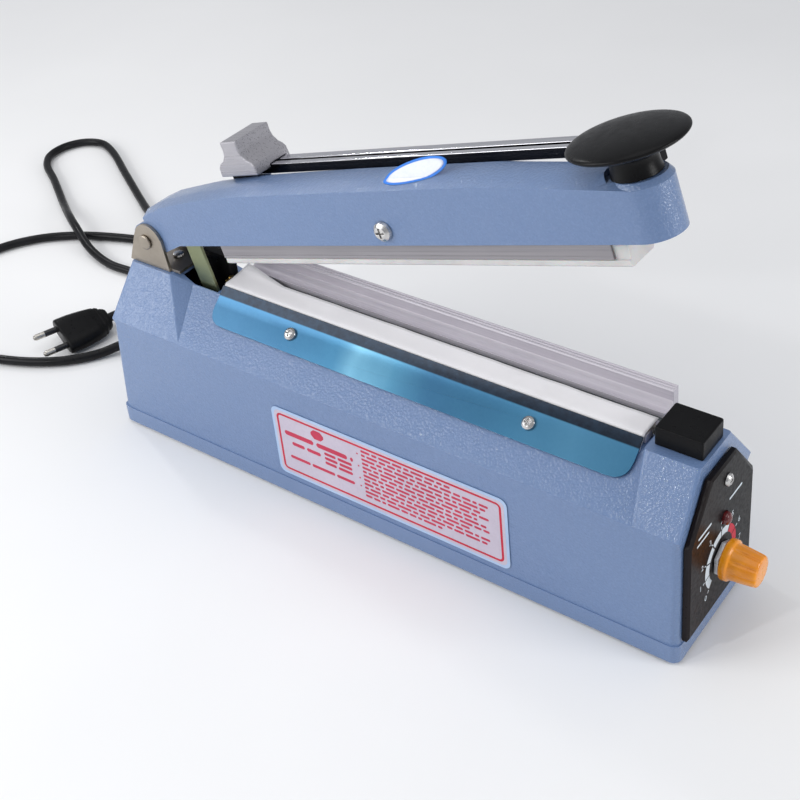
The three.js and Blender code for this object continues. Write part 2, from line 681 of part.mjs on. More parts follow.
function arm() {
  const endSides = 40;
  const endCap = turned('z', [[0, ARM_BOTTOM], [ARM_HALF, ARM_BOTTOM], [ARM_HALF, 162], [ARM_HALF - 1.2, 163.8],
    [13.8, KNOB_BASE - 0.3], [0, KNOB_BASE - 0.3]], [ARM_END_X, 0], endSides);
  const outside = join(armBody(0, 28), endCap, hub(HUB_HALF));
  const earRoom = [-1, 1].map((side) => {
    const span = [side * HUB_HALF, side * 20].sort((a, b) => a - b);
    return rod('y', span, [HINGE_X, HINGE_Z], 27.5, 40);
  });
  const mainHollow = common(armBody(ARM_WALL, 50), box([50, 384], [-20, 20], [100, 180]));
  const endHollow = join(box([380, 404], [-ARM_HALF + ARM_WALL, ARM_HALF - ARM_WALL], [110, 158]),
    rod('z', [110, 158], [ARM_END_X, 0], ARM_HALF - ARM_WALL, endSides));
  const hollow = join(mainHollow, endHollow);
  const knobSeat = rod('z', [KNOB_BASE - GAP, 190], [KNOB_X, 0], ARM_HALF, endSides);
  const hubHollow = box([8, 60], [-HUB_HOLLOW, HUB_HOLLOW], [110, 146]);
  const shell = cut(outside, hollow, hubHollow, knobSeat, ...earRoom);
  const ribs = ARM_RIBS.map((x) => box([x - 4, x + 4], [-ARM_HALF + 1, ARM_HALF - 1], [ARM_BOTTOM + 0.2, 160]));
  const knobBoss = rod('z', [150, 162], [KNOB_X, 0], 7);
  const pinBore = rod('y', [-20, 20], [HINGE_X, HINGE_Z], PIN_RADIUS + GAP);
  const sideBores = [-1, 1].map((side) => {
    const span = [side * 6, side * 20].sort((a, b) => a - b);
    return rod('y', span, [ARM_RIBS[1], ARM_SCREW_Z], 1.9, 12);
  });
  const holderBores = HOLDER_SCREW_X.map((x) => rod('z', [130, 150], [x, 0], 1.8, 12));
  const studBore = rod('z', [140, 170], [KNOB_X, 0], 3.4);
  const strapPinPockets = rod('y', [-STRAP_PIN_HALF - GAP, STRAP_PIN_HALF + GAP], STRAP_PIN_CLOSED, 2.3, 16);
  return cut(join(shell, ...ribs, knobBoss), pinBore, ...sideBores, ...holderBores, studBore, strapPinPockets);
}

const strapPivotPin = () => rod('y', [-STRAP_PIN_HALF, STRAP_PIN_HALF], STRAP_PIN_CLOSED, 1.9, 16);

const HOLDER_SCREW_X = [ARM_RIBS[0], ARM_RIBS[2]];
const STRIP_X = [93, 391.5];
const STRIP_HALF = 11.6;

function stripHolder() {
  const top = ARM_BOTTOM - GAP;
  const bottom = 123.6;
  const section = new THREE.Shape();
  const outer = STRIP_HALF + 0.4;
  const inner = STRIP_HALF - 0.9;
  section.moveTo(-outer, bottom);
  section.lineTo(-inner, bottom);
  section.lineTo(-inner, top - 1.8);
  section.lineTo(inner, top - 1.8);
  section.lineTo(inner, bottom);
  section.lineTo(outer, bottom);
  section.lineTo(outer, top);
  section.lineTo(-outer, top);
  const channel = prismX(section, [STRIP_X[0], STRIP_X[1] - 9]);
  return cut(channel, ...HOLDER_SCREW_X.map((x) => rod('z', [128, 140], [x, 0], 1.8, 12)));
}

function siliconeStrip() {
  const neck = STRIP_HALF - 1.2;
  const low = SHEET_TOP + GAP;
  const half = [[neck - 0.2, low], [STRIP_HALF, 120], [STRIP_HALF, 122.8], [neck, 123.3], [neck, 131.2]];
  const mirrored = half.map(([y, z]) => [-y, z]).reverse();
  const section = shapeOf([...half, ...mirrored]);
  const strip = prismX(section, STRIP_X);
  return cut(strip, ...HOLDER_SCREW_X.map((x) => rod('z', [128, 140], [x, 0], 4, 12)));
}

const holderScrew = (x) => rod('z', [128.6, 146], [x, 0], 1.5, 12);

function armScrew(side) {
  const screw = panScrew(6.2, 1.6, 9).rotateX(side * -Math.PI / 2);
  return screw.translate(ARM_RIBS[1], side * (ARM_HALF + GAP), ARM_SCREW_Z);
}

function handleKnob() {
  const base = KNOB_BASE;
  const knob = turned('z', [[0, base], [13.4, base], [12.8, base + 3], [12.6, base + 8], [13.6, base + 10.4],
    [19, base + 12.6], [26, base + 14.6], [30, base + 16.2], [KNOB_RADIUS, base + 17.6], [30.4, base + 19],
    [26, base + 20.6], [15, base + 22.2], [0, base + 22.8]], [KNOB_X, 0], 40);
  return cut(knob, rod('z', [160, 181], [KNOB_X, 0], 3.4));
}

function knobStud() {
  const head = rod('z', [144, 149.6], [KNOB_X, 0], 6.4, 6);
  return join(head, rod('z', [149, 180], [KNOB_X, 0], 3));
}

function cutterRail() {
  const rail = box(RAIL_X, RAIL_Y, RAIL_Z);
  const slot = box([RAIL_X[0] + 8, RAIL_X[1] - 8], [BLADE_Y - 1.5, BLADE_Y + 1.5], [160, 180]);
  return cut(rail, slot);
}

// Black blocks behind the arm's side carry the rail at its ends.
const RAIL_END_Z = 158;

function railEnd(under, beyond, top) {
  const y = [ARM_HALF + 0.4, RAIL_Y[1]];
  return join(box(under, y, [RAIL_END_Z, RAIL_Z[0] - GAP]), box(beyond, y, [RAIL_END_Z, top]));
}

const railMount = () => railEnd([94, 108], [94, RAIL_X[0] - GAP], RAIL_Z[1]);
const railCap = () => railEnd([388, 400], [RAIL_X[1] + GAP, 400], RAIL_Z[1]);

// ---- Cutter carriage ----

function carriage() {
  const half = [[7, CARRIAGE_TOP], [6.7, 189], [7.6, 185.4], [10.4, 182], [13.8, 180.2], [15.8, 178],
    [16.4, CARRIAGE_BOTTOM]];
  const right = half.map(([dx, z]) => [CARRIAGE_X + dx, z]);
  const left = half.map(([dx, z]) => [CARRIAGE_X - dx, z]).reverse();
  const block = prismY(shapeOf([...right, ...left]), CARRIAGE_Y);
  const channel = box([80, 150], [RAIL_Y[0] - 0.4, RAIL_Y[1] + 0.4], [150, RAIL_Z[1] + 0.4]);
  const pocket = box([CARRIAGE_X - 6.5, CARRIAGE_X + 6.5], [BLADE_Y - 0.8, BLADE_Y + 0.8], [170, 186]);
  return cut(block, channel, pocket);
}

function blade() {
  const x = CARRIAGE_X;
  const outline = shapeOf([[x - 6, 185], [x + 6, 185], [x + 6, 128], [x + 1.5, 120.6], [x - 1.5, 120.6],
    [x - 6, 128]]);
  return prismY(outline, [BLADE_Y - 0.35, BLADE_Y + 0.35]);
}

// ---- Mains cord ----

const CORD_Z = GROUND + CORD_RADIUS + 0.3;
const PLUG_FACE = [-106.5, -5.6, 8.4];
const PLUG_HEADING = THREE.MathUtils.degToRad(160.6);
const PLUG_ROLL = THREE.MathUtils.degToRad(-14);
const PLUG_LENGTH = 38;
const PIN_PLACES = [-9.5, 9.5];
const PLUG_PIN_RADIUS = 2.4;

// A point on the plug's axis, some distance behind its cord end.
function behindPlug(distance) {
  const along = PLUG_LENGTH + GAP + distance;
  const [x, y, z] = PLUG_FACE;
  return [x + along * Math.sin(PLUG_HEADING), y - along * Math.cos(PLUG_HEADING), z];
}

// The strain relief tapers away from the wall, and its neck passes through the wall.
function cordGland() {
  const at = -0.6;
  return turned('x', [[0, at - 26], [4.4, at - 26], [5, at - 14], [6.4, at - 4], [8.4, at - 3.4], [8.4, at - 0.3],
    [5.9, at - 0.3], [5.9, 9], [0, 9]], [GLAND_Y, GLAND_Z], 16);
}

const CORD_ROUTE = [
  [-27.1, GLAND_Y, GLAND_Z], [-34, GLAND_Y, GLAND_Z], [-41, 23.8, 11.4], [-49, 22, 9.9], [-58, 17, 7.1],
  [-64.8, 9.9, 4.4], [-71, 1, CORD_Z + 0.3], [-78.5, -9.5, CORD_Z], [-91, -22, CORD_Z], [-111, -34.5, CORD_Z],
  [-134, -44, CORD_Z], [-164, -52.5, CORD_Z], [-197, -54, CORD_Z], [-229, -44, CORD_Z], [-255, -22, CORD_Z],
  [-270, 8, CORD_Z], [-271, 38, CORD_Z], [-261, 70, CORD_Z], [-243, 94, CORD_Z], [-216, 113, CORD_Z],
  [-180, 128, CORD_Z], [-146, 137.5, CORD_Z], [-112, 147.5, CORD_Z], [-92, 155, CORD_Z],
  [-73, 162.8, CORD_Z], [-56, 165, CORD_Z], [-39.2, 156.5, CORD_Z], [-31, 136, CORD_Z],
  [-39.2, 115.5, CORD_Z], [-56, 107, CORD_Z], [-76, 108.5, CORD_Z], [-95, 115, CORD_Z + 0.3],
  [-114, 124, CORD_Z + 3.6], [-132, 133, CORD_Z + 7], [-149, 143, CORD_Z + 7.6],
  [-178, 161, CORD_Z + 3], [-212, 181, CORD_Z], [-262, 210, CORD_Z],
  [-311, 238, CORD_Z], [-330.6, 243.4, CORD_Z], [-347.5, 236.5, CORD_Z], [-357.2, 220.8, CORD_Z],
  [-356.2, 202.5, CORD_Z], [-344, 187.5, CORD_Z], [-316, 171, CORD_Z], [-270, 142, CORD_Z + 1],
  [-238, 122, CORD_Z + 7.4], [-220, 112.5, CORD_Z + 7.6], [-190, 99.5, CORD_Z + 2], [-160, 92.5, CORD_Z],
  [-136, 93, CORD_Z], [-115, 94, CORD_Z], [-96, 86.5, CORD_Z], [-86, 72, CORD_Z + 1.5], [-84, 58, CORD_Z + 4.2],
  behindPlug(12),
  behindPlug(0),
];

const cord = () => tube(CORD_ROUTE, CORD_RADIUS, 8, 80);

// The plug's own frame has its pins along +Y and its face at y = 0. It lies tipped on one long edge.
function placePlug(geometry) {
  return geometry.rotateY(PLUG_ROLL).rotateZ(PLUG_HEADING).translate(...PLUG_FACE);
}

function plugBody() {
  const section = (y, halfWidth, halfHeight, slant) => [
    [-halfWidth, -halfHeight + slant], [-halfWidth + slant, -halfHeight], [halfWidth - slant, -halfHeight],
    [halfWidth, -halfHeight + slant], [halfWidth, halfHeight - slant], [halfWidth - slant, halfHeight],
    [-halfWidth + slant, halfHeight], [-halfWidth, halfHeight - slant],
  ].map(([x, z]) => [x, y, z]);
  const face = hull([...section(0, 17.6, 6.6, 3.4), ...section(-11, 17.6, 6.6, 3.4)]);
  const grip = hull([...section(-10, 17.6, 6.6, 3.4), ...section(-30, 14.4, 6.6, 3), ...section(-38, 9, 5.6, 2.4)]);
  const pinHoles = PIN_PLACES.map((x) => rod('y', [-8, 2], [x, 0], PLUG_PIN_RADIUS + GAP, 16));
  return placePlug(cut(join(face, grip), ...pinHoles));
}

function plugPin(x) {
  const radius = PLUG_PIN_RADIUS;
  return placePlug(turned('y', [[0, -7], [radius, -7], [radius, 16.4], [radius - 0.7, 18.4], [0, 19]], [x, 0], 16));
}

// ---- Assembly ----

// The strap's pivot in the arm, turned from the closed arm to the open one.
function opensTo([x, z]) {
  const angle = THREE.MathUtils.degToRad(OPEN_ANGLE);
  const dx = x - HINGE_X;
  const dz = z - HINGE_Z;
  return [HINGE_X + dx * Math.cos(angle) - dz * Math.sin(angle),
    HINGE_Z + dx * Math.sin(angle) + dz * Math.cos(angle)];
}

const strapPin = opensTo(STRAP_PIN_CLOSED);
const sealer = new THREE.Group();

const M = MATERIALS;
piece(sealer, 'housing', housing(), M.enamel);
piece(sealer, 'base_plate', basePlate(), M.steel);
cornerPlaces.forEach((place, i) => piece(sealer, `foot_${i + 1}`, foot(place), M.rubber));
cornerPlaces.forEach((place, i) => piece(sealer, `base_screw_${i + 1}`, baseScrew(place), M.steel));
piece(sealer, 'hinge_bracket', hingeBracket(), M.zinc);
piece(sealer, 'hinge_pin', hingePin(), M.zinc);
piece(sealer, 'sealing_bar', sealingBar(), M.aluminium);
piece(sealer, 'insulation_tape', layer([SEAL_Y - 4.5, SEAL_Y + 4.5], BAR_TOP + 0.3), M.tape);
piece(sealer, 'heating_element', heatingElement(), M.nichrome);
piece(sealer, 'ptfe_sheet', ptfeSheet(), M.ptfe);
piece(sealer, 'clamp_plate', clampPlate(), M.film);
CLAMP_SCREW_X.forEach((x, i) => piece(sealer, `clamp_screw_${i + 1}`, clampScrew(x), M.steel));
piece(sealer, 'end_block', endBlock(), M.black);
piece(sealer, 'control_panel', controlPanel(), M.panel);
piece(sealer, 'panel_screw', panelScrew(), M.steel);
piece(sealer, 'indicator_lamp', indicatorLamp(), M.lens);
piece(sealer, 'potentiometer', potentiometer(), M.steel);
piece(sealer, 'pot_nut', potNut(), M.steel);
piece(sealer, 'pot_shaft', potShaft(), M.steel);
piece(sealer, 'timer_knob', timerKnob(), M.orange);
piece(sealer, 'transformer_core', transformerCore(), M.core);
piece(sealer, 'transformer_coil', transformerCoil(), M.winding);
piece(sealer, 'timer_board', timerBoard(), M.board);
piece(sealer, 'microswitch', microswitch(), M.black);
piece(sealer, 'switch_lever', switchLever(), M.steel);
piece(sealer, 'return_spring', springCoil(), M.steel);
piece(sealer, 'link_strap', linkStrap(strapPin), M.passivated);
piece(sealer, 'label_plate', labelPlate(), M.label);
BRACKET_SCREW_X.forEach((x, i) => piece(sealer, `bracket_screw_${i + 1}`, bracketScrew(x), M.steel));
TERMINAL_X.forEach((x, i) => piece(sealer, `terminal_${i + 1}`, terminal(x), M.brass));
piece(sealer, 'terminal_block', terminalBlock(), M.black);

const opened = new THREE.Group();
opened.position.set(HINGE_X, 0, HINGE_Z);
opened.rotation.y = THREE.MathUtils.degToRad(-OPEN_ANGLE);
const closedArm = new THREE.Group();
closedArm.position.set(-HINGE_X, 0, -HINGE_Z);
opened.add(closedArm);
sealer.add(opened);

piece(closedArm, 'arm', arm(), M.enamel);
HOLDER_SCREW_X.forEach((x, i) => piece(closedArm, `holder_screw_${i + 1}`, holderScrew(x), M.steel));
[-1, 1].forEach((side, i) => piece(closedArm, `arm_screw_${i + 1}`, armScrew(side), M.steel));
piece(closedArm, 'strap_pin', strapPivotPin(), M.steel);
piece(closedArm, 'strip_holder', stripHolder(), M.aluminium);
piece(closedArm, 'silicone_strip', siliconeStrip(), M.silicone);
piece(closedArm, 'handle_knob', handleKnob(), M.black);
piece(closedArm, 'knob_stud', knobStud(), M.steel);
piece(closedArm, 'cutter_rail', cutterRail(), M.chrome);
piece(closedArm, 'rail_mount', railMount(), M.black);
piece(closedArm, 'rail_cap', railCap(), M.black);
piece(closedArm, 'carriage', carriage(), M.castSilver);
piece(closedArm, 'blade', blade(), M.steel);
piece(sealer, 'cord_gland', cordGland(), M.rubber);
piece(sealer, 'cord', cord(), M.cable);
piece(sealer, 'plug_body', plugBody(), M.black);
PIN_PLACES.forEach((x, i) => piece(sealer, `plug_pin_${i + 1}`, plugPin(x), M.steel));

// The origin sits under the middle of the sealer itself, on the surface that its feet stand on.
const onCord = ['cord_gland', 'cord', 'plug_body', 'plug_pin_1', 'plug_pin_2'];
const extent = new THREE.Box3();
sealer.updateMatrixWorld(true);
sealer.traverse((object) => {
  if (object.isMesh && !onCord.includes(object.name)) extent.expandByObject(object, true);
});
const middle = extent.getCenter(new THREE.Vector3());
sealer.position.set(-middle.x, -middle.y, -extent.min.z);

export default sealer;
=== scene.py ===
import json
import math

import bmesh
import bpy
from mathutils import Matrix, Vector


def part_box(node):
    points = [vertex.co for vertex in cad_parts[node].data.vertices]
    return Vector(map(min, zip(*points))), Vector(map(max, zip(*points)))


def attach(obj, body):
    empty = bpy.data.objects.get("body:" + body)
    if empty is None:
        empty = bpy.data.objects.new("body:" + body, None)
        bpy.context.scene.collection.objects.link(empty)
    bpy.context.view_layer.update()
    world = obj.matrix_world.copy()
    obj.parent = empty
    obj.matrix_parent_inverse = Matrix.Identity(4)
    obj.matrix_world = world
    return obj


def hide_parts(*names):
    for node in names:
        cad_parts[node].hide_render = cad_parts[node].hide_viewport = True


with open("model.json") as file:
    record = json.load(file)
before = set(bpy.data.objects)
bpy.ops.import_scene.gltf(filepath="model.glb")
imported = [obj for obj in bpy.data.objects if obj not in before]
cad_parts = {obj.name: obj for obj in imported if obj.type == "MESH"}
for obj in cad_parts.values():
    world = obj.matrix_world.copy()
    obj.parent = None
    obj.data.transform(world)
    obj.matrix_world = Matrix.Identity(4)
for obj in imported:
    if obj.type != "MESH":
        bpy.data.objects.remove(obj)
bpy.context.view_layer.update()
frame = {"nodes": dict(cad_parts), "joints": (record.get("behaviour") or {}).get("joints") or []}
NODES = frame["nodes"]
JOINTS = {j["name"]: j for j in frame["joints"]}
HINGE = Vector(JOINTS["arm_hinge"]["pos_m"])
ARM_OPEN = math.radians(JOINTS["arm_hinge"]["range_deg"][1])
# Places on the arm are given in millimetres from the hinge with the arm closed; this turns them open.
ON_ARM = Matrix.Translation(HINGE) @ Matrix.Rotation(-ARM_OPEN, 4, "Y")
MM = 0.001


# ---- Camera ----

# The photo's view, as its perspective was solved: the lens in millimetres, the place in metres, and the
# directions that are right and up in the picture.
SENSOR_WIDTH, LENS = 36, 64.091
SHIFT_X, SHIFT_Y = -0.0307, -0.1936
CAMERA_PLACE = (0.439527, -0.531219, 0.606834)
CAMERA_RIGHT = Vector((0.8098469, 0.5813417, -0.0786749))
CAMERA_UP = Vector((-0.2508384, 0.4643824, 0.8493698))
FARTHEST_SEEN = 20


def make_camera():
    data = bpy.data.cameras.new("camera")
    data.sensor_width = SENSOR_WIDTH
    data.lens = LENS
    data.shift_x = SHIFT_X
    data.shift_y = SHIFT_Y
    data.clip_end = FARTHEST_SEEN
    camera = bpy.data.objects.new("camera", data)
    bpy.context.scene.collection.objects.link(camera)
    back = CAMERA_RIGHT.cross(CAMERA_UP)
    turn = Matrix((CAMERA_RIGHT, CAMERA_UP, back)).transposed()
    camera.matrix_world = Matrix.Translation(CAMERA_PLACE) @ turn.to_4x4()
    bpy.context.scene.camera = camera


make_camera()


# ---- Materials ----

class Material:
    """A procedural Principled material. Colour, roughness and bump come from nodes in object coordinates."""

    def __init__(self, name, rough=0.5, metal=0.0, **sockets):
        self.data = bpy.data.materials.new(name)
        self.data.use_nodes = True
        self.tree = self.data.node_tree
        self.shader = self.tree.nodes["Principled BSDF"]
        self.shader.inputs["Roughness"].default_value = rough
        self.shader.inputs["Metallic"].default_value = metal
        for key, value in sockets.items():
            self.shader.inputs[key.replace("_", " ")].default_value = value
        self.place = self.node("ShaderNodeTexCoord").outputs["Object"]

    def node(self, kind, **settings):
        made = self.tree.nodes.new(kind)
        for key, value in settings.items():
            setattr(made, key, value)
        return made

    def link(self, a, b):
        self.tree.links.new(a, b)

    def stretched(self, x, y, z, tilt=0.0):
        """Coordinates turned back by a tilt about Y, then scaled along each axis."""
        mapping = self.node("ShaderNodeMapping", vector_type="TEXTURE")
        mapping.inputs["Rotation"].default_value = (0, tilt, 0)
        mapping.inputs["Scale"].default_value = (1 / x, 1 / y, 1 / z)
        self.link(self.place, mapping.inputs["Vector"])
        return mapping.outputs[0]

    def noise(self, scale, detail=3.0, rough=0.5, place=None):
        made = self.node("ShaderNodeTexNoise")
        made.inputs["Scale"].default_value = scale
        made.inputs["Detail"].default_value = detail
        made.inputs["Roughness"].default_value = rough
        self.link(place or self.place, made.inputs["Vector"])
        return made.outputs["Fac"]

    def cells(self, scale):
        made = self.node("ShaderNodeTexVoronoi", feature="SMOOTH_F1")
        made.inputs["Scale"].default_value = scale
        self.link(self.place, made.inputs["Vector"])
        return made.outputs["Distance"]

    def waves(self, axis, scale, distortion=0.0):
        made = self.node("ShaderNodeTexWave", bands_direction=axis)
        made.inputs["Scale"].default_value = scale
        made.inputs["Distortion"].default_value = distortion
        self.link(self.place, made.inputs["Vector"])
        return made.outputs["Fac"]

    def ramp(self, source, *stops):
        made = self.node("ShaderNodeValToRGB")
        band = made.color_ramp
        while len(band.elements) < len(stops):
            band.elements.new(0.5)
        for element, (at, colour) in zip(band.elements, stops):
            element.position = at
            element.color = (*colour, 1)
        self.link(source, made.inputs[0])
        return made.outputs[0]

    def mix(self, amount, a, b):
        """A colour mix. Inputs 6 and 7 are its two colours, and output 2 is the mixed one."""
        made = self.node("ShaderNodeMix", data_type="RGBA")
        self.link(amount, made.inputs["Factor"])
        self.link(a, made.inputs[6])
        self.link(b, made.inputs[7])
        return made.outputs[2]

    def spread(self, source, low, high, start=0.3, end=0.7):
        made = self.node("ShaderNodeMapRange")
        for key, value in (("From Min", start), ("From Max", end), ("To Min", low), ("To Max", high)):
            made.inputs[key].default_value = value
        self.link(source, made.inputs["Value"])
        return made.outputs[0]

    def maths(self, operation, a, b):
        made = self.node("ShaderNodeMath", operation=operation)
        for socket, value in zip(made.inputs, (a, b)):
            if isinstance(value, (int, float)):
                socket.default_value = value
            else:
                self.link(value, socket)
        return made.outputs[0]

    def axis(self, index):
        split = self.node("ShaderNodeSeparateXYZ")
        self.link(self.place, split.inputs[0])
        return split.outputs[index]

    def colour(self, source):
        self.link(source, self.shader.inputs["Base Color"])
        return self

    def gloss(self, source):
        self.link(source, self.shader.inputs["Roughness"])
        return self

    def bump(self, height, depth, strength=1.0, before=None, socket="Normal"):
        made = self.node("ShaderNodeBump")
        made.inputs["Strength"].default_value = strength
        made.inputs["Distance"].default_value = depth
        self.link(height, made.inputs["Height"])
        if before:
            self.link(before, made.inputs["Normal"])
        self.link(made.outputs[0], self.shader.inputs[socket])
        return made.outputs[0]


# Where a look changes, as [from, to] in metres along one axis, or as a part of a normal.
CHANNEL_FRONT_Y, CHANNEL_BACK_Y = (0.0084, 0.0086), (0.0134, 0.0136)
# Faces whose normal points this far to the front get the rail's painted dark reflection.
PAINTED_DARK_FACING = (-0.90, -0.75)
PLATE_ALONG_X, PLATE_BEND_Z = (-0.10, 0.22), (0.1143, 0.1149)
PANEL_PAINTED_SHEEN_Y = (-0.045, 0.01)
SLEEVE_END = (0.0098, 0.0101)


def enamel():
    """Blue-grey hammered enamel: a calm colour under a finely pitted clear skin that glints."""
    m = Material("hammered_enamel", Coat_Weight=0.8, Coat_Roughness=0.08, Specular_IOR_Level=0.3)
    base = m.ramp(m.noise(9, 4), (0.3, (0.135, 0.215, 0.395)), (0.7, (0.150, 0.236, 0.425)))
    fine = m.noise(900, 2)
    speck = m.ramp(fine, (0.35, (0.118, 0.192, 0.360)), (0.7, (0.168, 0.258, 0.455)))
    m.colour(m.mix(m.spread(fine, 0.2, 0.6), base, speck))
    m.gloss(m.spread(m.noise(400, 3), 0.36, 0.50))
    m.bump(m.cells(800), 0.00010, 0.45)
    pits = m.bump(m.cells(820), 0.0006, 1.0, socket="Coat Normal")
    m.bump(m.noise(1300, 2), 0.0002, 0.7, pits, "Coat Normal")
    return m.data


def steel(name, colour, rough=0.3, scale=900):
    m = Material(name, metal=1.0)
    dark = tuple(0.86 * c for c in colour)
    m.colour(m.ramp(m.noise(scale / 6, 3), (0.3, dark), (0.7, colour)))
    m.gloss(m.spread(m.noise(scale, 3), rough * 0.85, rough * 1.25))
    m.bump(m.noise(scale * 1.5, 3), 0.000012, 0.4)
    return m.data


def drawn_metal(name, colour, rough, streak=1.0, metal=1.0, tilt=0.0):
    """Metal with fine lines along one axis, as extrusion or polishing leaves them."""
    m = Material(name, metal=metal)
    place = m.stretched(6, 900, 900, tilt)
    grain = m.noise(1.0, 4, 0.6, place)
    cloud = m.noise(22, 3)
    dark = tuple((1 - 0.22 * streak) * c for c in colour)
    lined = m.ramp(grain, (0.35, dark), (0.65, colour))
    clouded = m.ramp(cloud, (0.3, tuple(0.9 * c for c in colour)), (0.7, colour))
    m.colour(m.mix(m.spread(cloud, 0.2, 0.6), lined, clouded))
    m.gloss(m.spread(grain, rough * 0.75, rough * 1.4))
    m.bump(grain, 0.00004, 0.4 * streak)
    return m.data


def bar_metal():
    """Lilac-grey extrusion whose channel behind the seal is painted dark: painted shade in the recess."""
    m = Material("extruded_aluminium", metal=0.25)
    grain = m.noise(1.0, 4, 0.6, m.stretched(6, 900, 900))
    lined = m.ramp(grain, (0.35, (0.50, 0.470, 0.520)), (0.65, (0.63, 0.600, 0.650)))
    cloud = m.ramp(m.noise(22, 3), (0.3, (0.55, 0.520, 0.570)), (0.7, (0.66, 0.630, 0.680)))
    plain = m.mix(m.spread(m.noise(40, 3), 0.2, 0.6), lined, cloud)
    # The channel's dark grey is painted shade in the recess, not the metal's own colour.
    shade = m.ramp(grain, (0.3, (0.060, 0.075, 0.080)), (0.7, (0.120, 0.140, 0.145)))
    behind_front = m.spread(m.axis(1), 0, 1, *CHANNEL_FRONT_Y)
    before_back = m.spread(m.axis(1), 1, 0, *CHANNEL_BACK_Y)
    painted_channel_shade = m.maths("MULTIPLY", behind_front, before_back)
    m.colour(m.mix(painted_channel_shade, plain, shade))
    m.gloss(m.spread(grain, 0.32, 0.52))
    m.bump(grain, 0.00004, 0.4)
    return m.data


def rail_chrome():
    """Bright chrome whose front-facing faces are painted near black: a painted dark reflection and shade."""
    m = Material("rail_chrome", metal=1.0)
    split = m.node("ShaderNodeSeparateXYZ")
    m.link(m.node("ShaderNodeTexCoord").outputs["Normal"], split.inputs[0])
    # Front-facing faces are painted near black, a painted dark reflection and shade on the chrome.
    painted_dark_side = m.spread(split.outputs[1], 1, 0, *PAINTED_DARK_FACING)
    grain = m.noise(1.0, 4, 0.6, m.stretched(8, 700, 700, -ARM_OPEN))
    bright = m.ramp(grain, (0.3, (0.66, 0.66, 0.70)), (0.7, (0.84, 0.84, 0.88)))
    black = m.ramp(grain, (0.3, (0.010, 0.010, 0.012)), (0.7, (0.030, 0.030, 0.034)))
    m.colour(m.mix(painted_dark_side, bright, black))
    m.gloss(m.spread(grain, 0.08, 0.18))
    m.bump(grain, 0.00003, 0.3)
    return m.data


def plastic(name, colour, rough=0.4, grain=0.5, **sockets):
    m = Material(name, **sockets)
    light = tuple(min(1, 1.25 * c + 0.004) for c in colour)
    m.colour(m.ramp(m.noise(30, 4), (0.3, colour), (0.75, light)))
    m.gloss(m.spread(m.noise(240, 3), rough * 0.85, rough * 1.25))
    m.bump(m.noise(1800, 2), 0.00004, grain)
    return m.data


def film():
    """Thin polished sheet under a blue protective film, with a paler patch painted as a reflection, darker ends
    and a band painted as shade, and a bent edge painted near black as shade.
    """
    m = Material("blue_film_on_polished_sheet", metal=0.7, Coat_Weight=0.15, Coat_Roughness=0.16)
    sway = m.maths("MULTIPLY", m.noise(1.0, 3, 0.55, m.stretched(18, 6, 6)), 0.07)
    along = m.spread(m.maths("ADD", m.axis(0), sway), 0, 1, *PLATE_ALONG_X)
    # Along the plate, a paler patch is a painted reflection, and the darker ends and band are painted shade.
    painted_shade_blue, plain = (0.032, 0.130, 0.250), (0.050, 0.195, 0.340)
    painted_reflection, beside, far = (0.170, 0.410, 0.570), (0.085, 0.270, 0.420), (0.075, 0.240, 0.390)
    tint = m.ramp(
        along, (0.0, painted_shade_blue), (0.16, painted_shade_blue), (0.28, plain), (0.35, painted_reflection), (0.41, beside), (0.52, painted_shade_blue),
        (0.70, plain), (0.82, far), (0.95, plain))
    fine = m.ramp(m.noise(500, 3), (0.3, (0.040, 0.165, 0.300)), (0.75, (0.065, 0.225, 0.375)))
    face = m.mix(m.spread(m.noise(40, 2), 0.10, 0.25), tint, fine)
    # The upright bent edge is painted near black: painted shade.
    painted_shade_edge = m.ramp(m.noise(300, 3, 0.6), (0.3, (0.003, 0.008, 0.018)), (0.75, (0.010, 0.024, 0.045)))
    m.colour(m.mix(m.spread(m.axis(2), 0, 1, *PLATE_BEND_Z), face, painted_shade_edge))
    m.gloss(m.spread(m.noise(30, 2), 0.28, 0.33))
    wrinkle = m.bump(m.noise(1.0, 3, 0.5, m.stretched(40, 20, 20)), 0.0004, 0.3)
    m.bump(m.noise(900, 2), 0.00002, 0.4, wrinkle)
    return m.data


def cloth_sheet():
    """PTFE coated glass cloth: a fine weave under a slick off-white coating."""
    m = Material("ptfe_cloth", Sheen_Weight=0.15, Specular_IOR_Level=0.5)
    stain = m.noise(14, 4, 0.6)
    m.colour(m.ramp(stain, (0.2, (0.76, 0.74, 0.75)), (0.4, (0.88, 0.865, 0.88)), (0.8, (0.92, 0.905, 0.925))))
    m.gloss(m.spread(m.noise(90, 3), 0.36, 0.55))
    weave = m.maths("ADD", m.waves("X", 520), m.waves("Y", 520))
    soft = m.bump(m.noise(26, 3), 0.0009, 0.35)
    m.bump(weave, 0.00005, 0.35, soft)
    return m.data


def silicone():
    m = Material(
        "silicone_rubber", Subsurface_Weight=0.25, Subsurface_Scale=0.004, Transmission_Weight=0.12, IOR=1.41)
    m.colour(m.ramp(m.noise(45, 4), (0.3, (0.62, 0.61, 0.60)), (0.7, (0.80, 0.79, 0.78))))
    m.gloss(m.spread(m.noise(300, 3), 0.3, 0.5))
    m.bump(m.noise(700, 3), 0.00006, 0.5)
    return m.data


